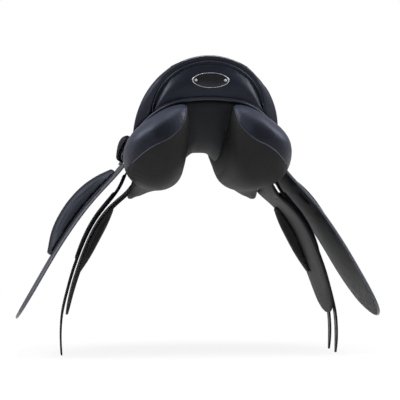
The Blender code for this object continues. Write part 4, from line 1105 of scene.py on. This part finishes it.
def hole_places(strap, side):
    """Middles of a strap's buckle holes, measured up its face from the tip, with their normals."""
    skin = skin_of(strap)
    points = [vert.co for vert in strap.data.vertices]
    middle = (min(point.y for point in points) + max(point.y for point in points)) / 2
    height = min(point.z for point in points) + TIP_MARGIN
    places = []
    run = 0.0
    before = None
    while height < HOLE_LAST_HEIGHT:
        hit, normal, _, _ = skin.ray_cast(Vector((side, middle, height)), Vector((-side, 0, 0)))
        height += RULER_STEP
        if hit is None:
            continue
        if before is not None:
            run += (hit - before).length
        before = hit
        if run >= HOLE_FIRST + len(places) * HOLE_PITCH:
            places.append((hit, normal))
    return places


def punched(strap, side):
    """Cuts the row of oval buckle holes up the middle of a strap."""
    across = Vector((0, 1, 0))
    verts = []
    faces = []
    for hit, normal in hole_places(strap, side):
        along = normal.cross(across).normalized()
        faces += ring_faces(len(PUNCH_ENDS), HOLE_SIDES, len(verts))
        for depth in PUNCH_ENDS:
            verts += [hit + normal * depth + along * (HOLE_HALF_LENGTH * c) + across * (HOLE_HALF_WIDTH * s)
                      for c, s in around(HOLE_SIDES)]
    punch = mesh_piece("punch", verts, faces)
    cut = strap.modifiers.new("holes", "BOOLEAN")
    cut.object = punch
    cut.solver = "EXACT"
    applied(strap)
    strap.data.set_sharp_from_angle(angle=HOLE_EDGE)
    bpy.data.objects.remove(punch, do_unlink=True)


for suffix, side in SIDES:
    for word in ("front", "rear"):
        strap = edged_sheet("strap_" + word, "billet_" + word, suffix, flap_leather, rim=0.0006,
                            stitch_inset=0.0035, levels=1)
        punched(strap, side)
    edged_sheet("guard_hide", "buckle_guard", suffix, flap_leather, rim=0.0006, stitch_inset=0.005)


# Dee rings
# A plated ring on each side of the pommel takes the straps of a breastplate. Its leather tab is
# folded through it and nailed to the tree.

for suffix, _ in SIDES:
    tab = "dee_chape_" + suffix
    dress(refined("dee_tab_" + suffix, tab, 1, rim=0.0003), tab, flap_leather)
    finished("dee_ring_" + suffix, bright_metal)


# Studio
# A wide floor of matt pale paper with plain white all round it. Four large soft lamps stand above,
# in front and on both sides, and the camera sees the rear of the saddle from about its own height.

FLOOR_HEIGHT = -0.372
FLOOR_REACH = 30
FLOOR_WHITE = 0.86
MIRRORED_SHARE = 0.3


def white_to_camera(graph):
    """1 where the camera looks at it, straight or through glass, and less in a mirror."""
    looked_at = graph.node("ShaderNodeLightPath", {}, output="Is Camera Ray")
    mirrored = graph.node("ShaderNodeLightPath", {}, output="Is Glossy Ray")
    passed = graph.node("ShaderNodeLightPath", {}, output="Is Transmission Ray")
    return (looked_at + passed + mirrored * MIRRORED_SHARE).clamped()


corners = ((-1, -1), (1, -1), (1, 1), (-1, 1))
floor = mesh_piece("studio_floor", [(x * FLOOR_REACH, y * FLOOR_REACH, FLOOR_HEIGHT) for x, y in corners],
                   [(0, 1, 2, 3)])
paper = Graph("studio_paper")
matt = paper.finish((0.90, 0.90, 0.90, 1), 0.9, shine=0.1)
glow = paper.node("ShaderNodeEmission", {}, (1.0, 1.0, 1.0, 1), 1.0)
away = paper.node("ShaderNodeVectorMath", {"operation": "LENGTH"}, paper.place(), output="Value")
edge = (away * 0.6 - 0.5).clamped() * (1 - FLOOR_WHITE)
share = white_to_camera(paper) * (edge + FLOOR_WHITE)
mixed = paper.node("ShaderNodeMixShader", {}, share, Field(paper, paper.shader.outputs[0]), glow)
paper.tree.links.new(mixed.socket, paper.tree.nodes["Material Output"].inputs["Surface"])
floor.data.materials.append(matt)

air = Graph("studio", "worlds")
soft = air.node("ShaderNodeBackground", {}, (1.0, 1.0, 1.0, 1), 0.25)
white = air.node("ShaderNodeBackground", {}, (1.0, 1.0, 1.0, 1), 1.0)
mixed = air.node("ShaderNodeMixShader", {}, white_to_camera(air), soft, white)
air.tree.links.new(mixed.socket, air.tree.nodes["World Output"].inputs["Surface"])
bpy.context.scene.world = air.owner


def lamp(name, place, aim, size, power):
    """Large soft lamp that faces a point."""
    light = bpy.data.lights.new(name, "AREA")
    light.shape = "RECTANGLE"
    light.size = size[0]
    light.size_y = size[1]
    light.energy = power
    item = bpy.data.objects.new(name, light)
    item.location = place
    item.rotation_euler = (Vector(aim) - Vector(place)).to_track_quat("-Z", "Y").to_euler()
    bpy.context.scene.collection.objects.link(item)


lamp("lamp_over", (0.0, -0.7, 2.2), (0, -0.1, 0.1), (1.5, 1.0), 22)
lamp("lamp_left", (-2.3, -0.5, 1.35), (0, 0, 0.05), (1.2, 2.2), 78)
lamp("lamp_right", (2.3, -0.5, 1.35), (0, 0, 0.05), (1.2, 2.2), 78)
lamp("lamp_front", (0.3, 2.6, 1.4), (0, 0, 0.1), (1.6, 1.2), 24)

camera = bpy.data.cameras.new("camera")
camera.lens = 124.3
camera.sensor_width = 36.0
view = bpy.data.objects.new("camera", camera)
view.location = (-0.326, -3.137, -0.021)
view.rotation_euler = Vector((0.1045, 0.9945, 0.0)).to_track_quat("-Z", "Y").to_euler()
bpy.context.scene.collection.objects.link(view)
bpy.context.scene.camera = view
bpy.context.scene.view_settings.view_transform = "Standard"
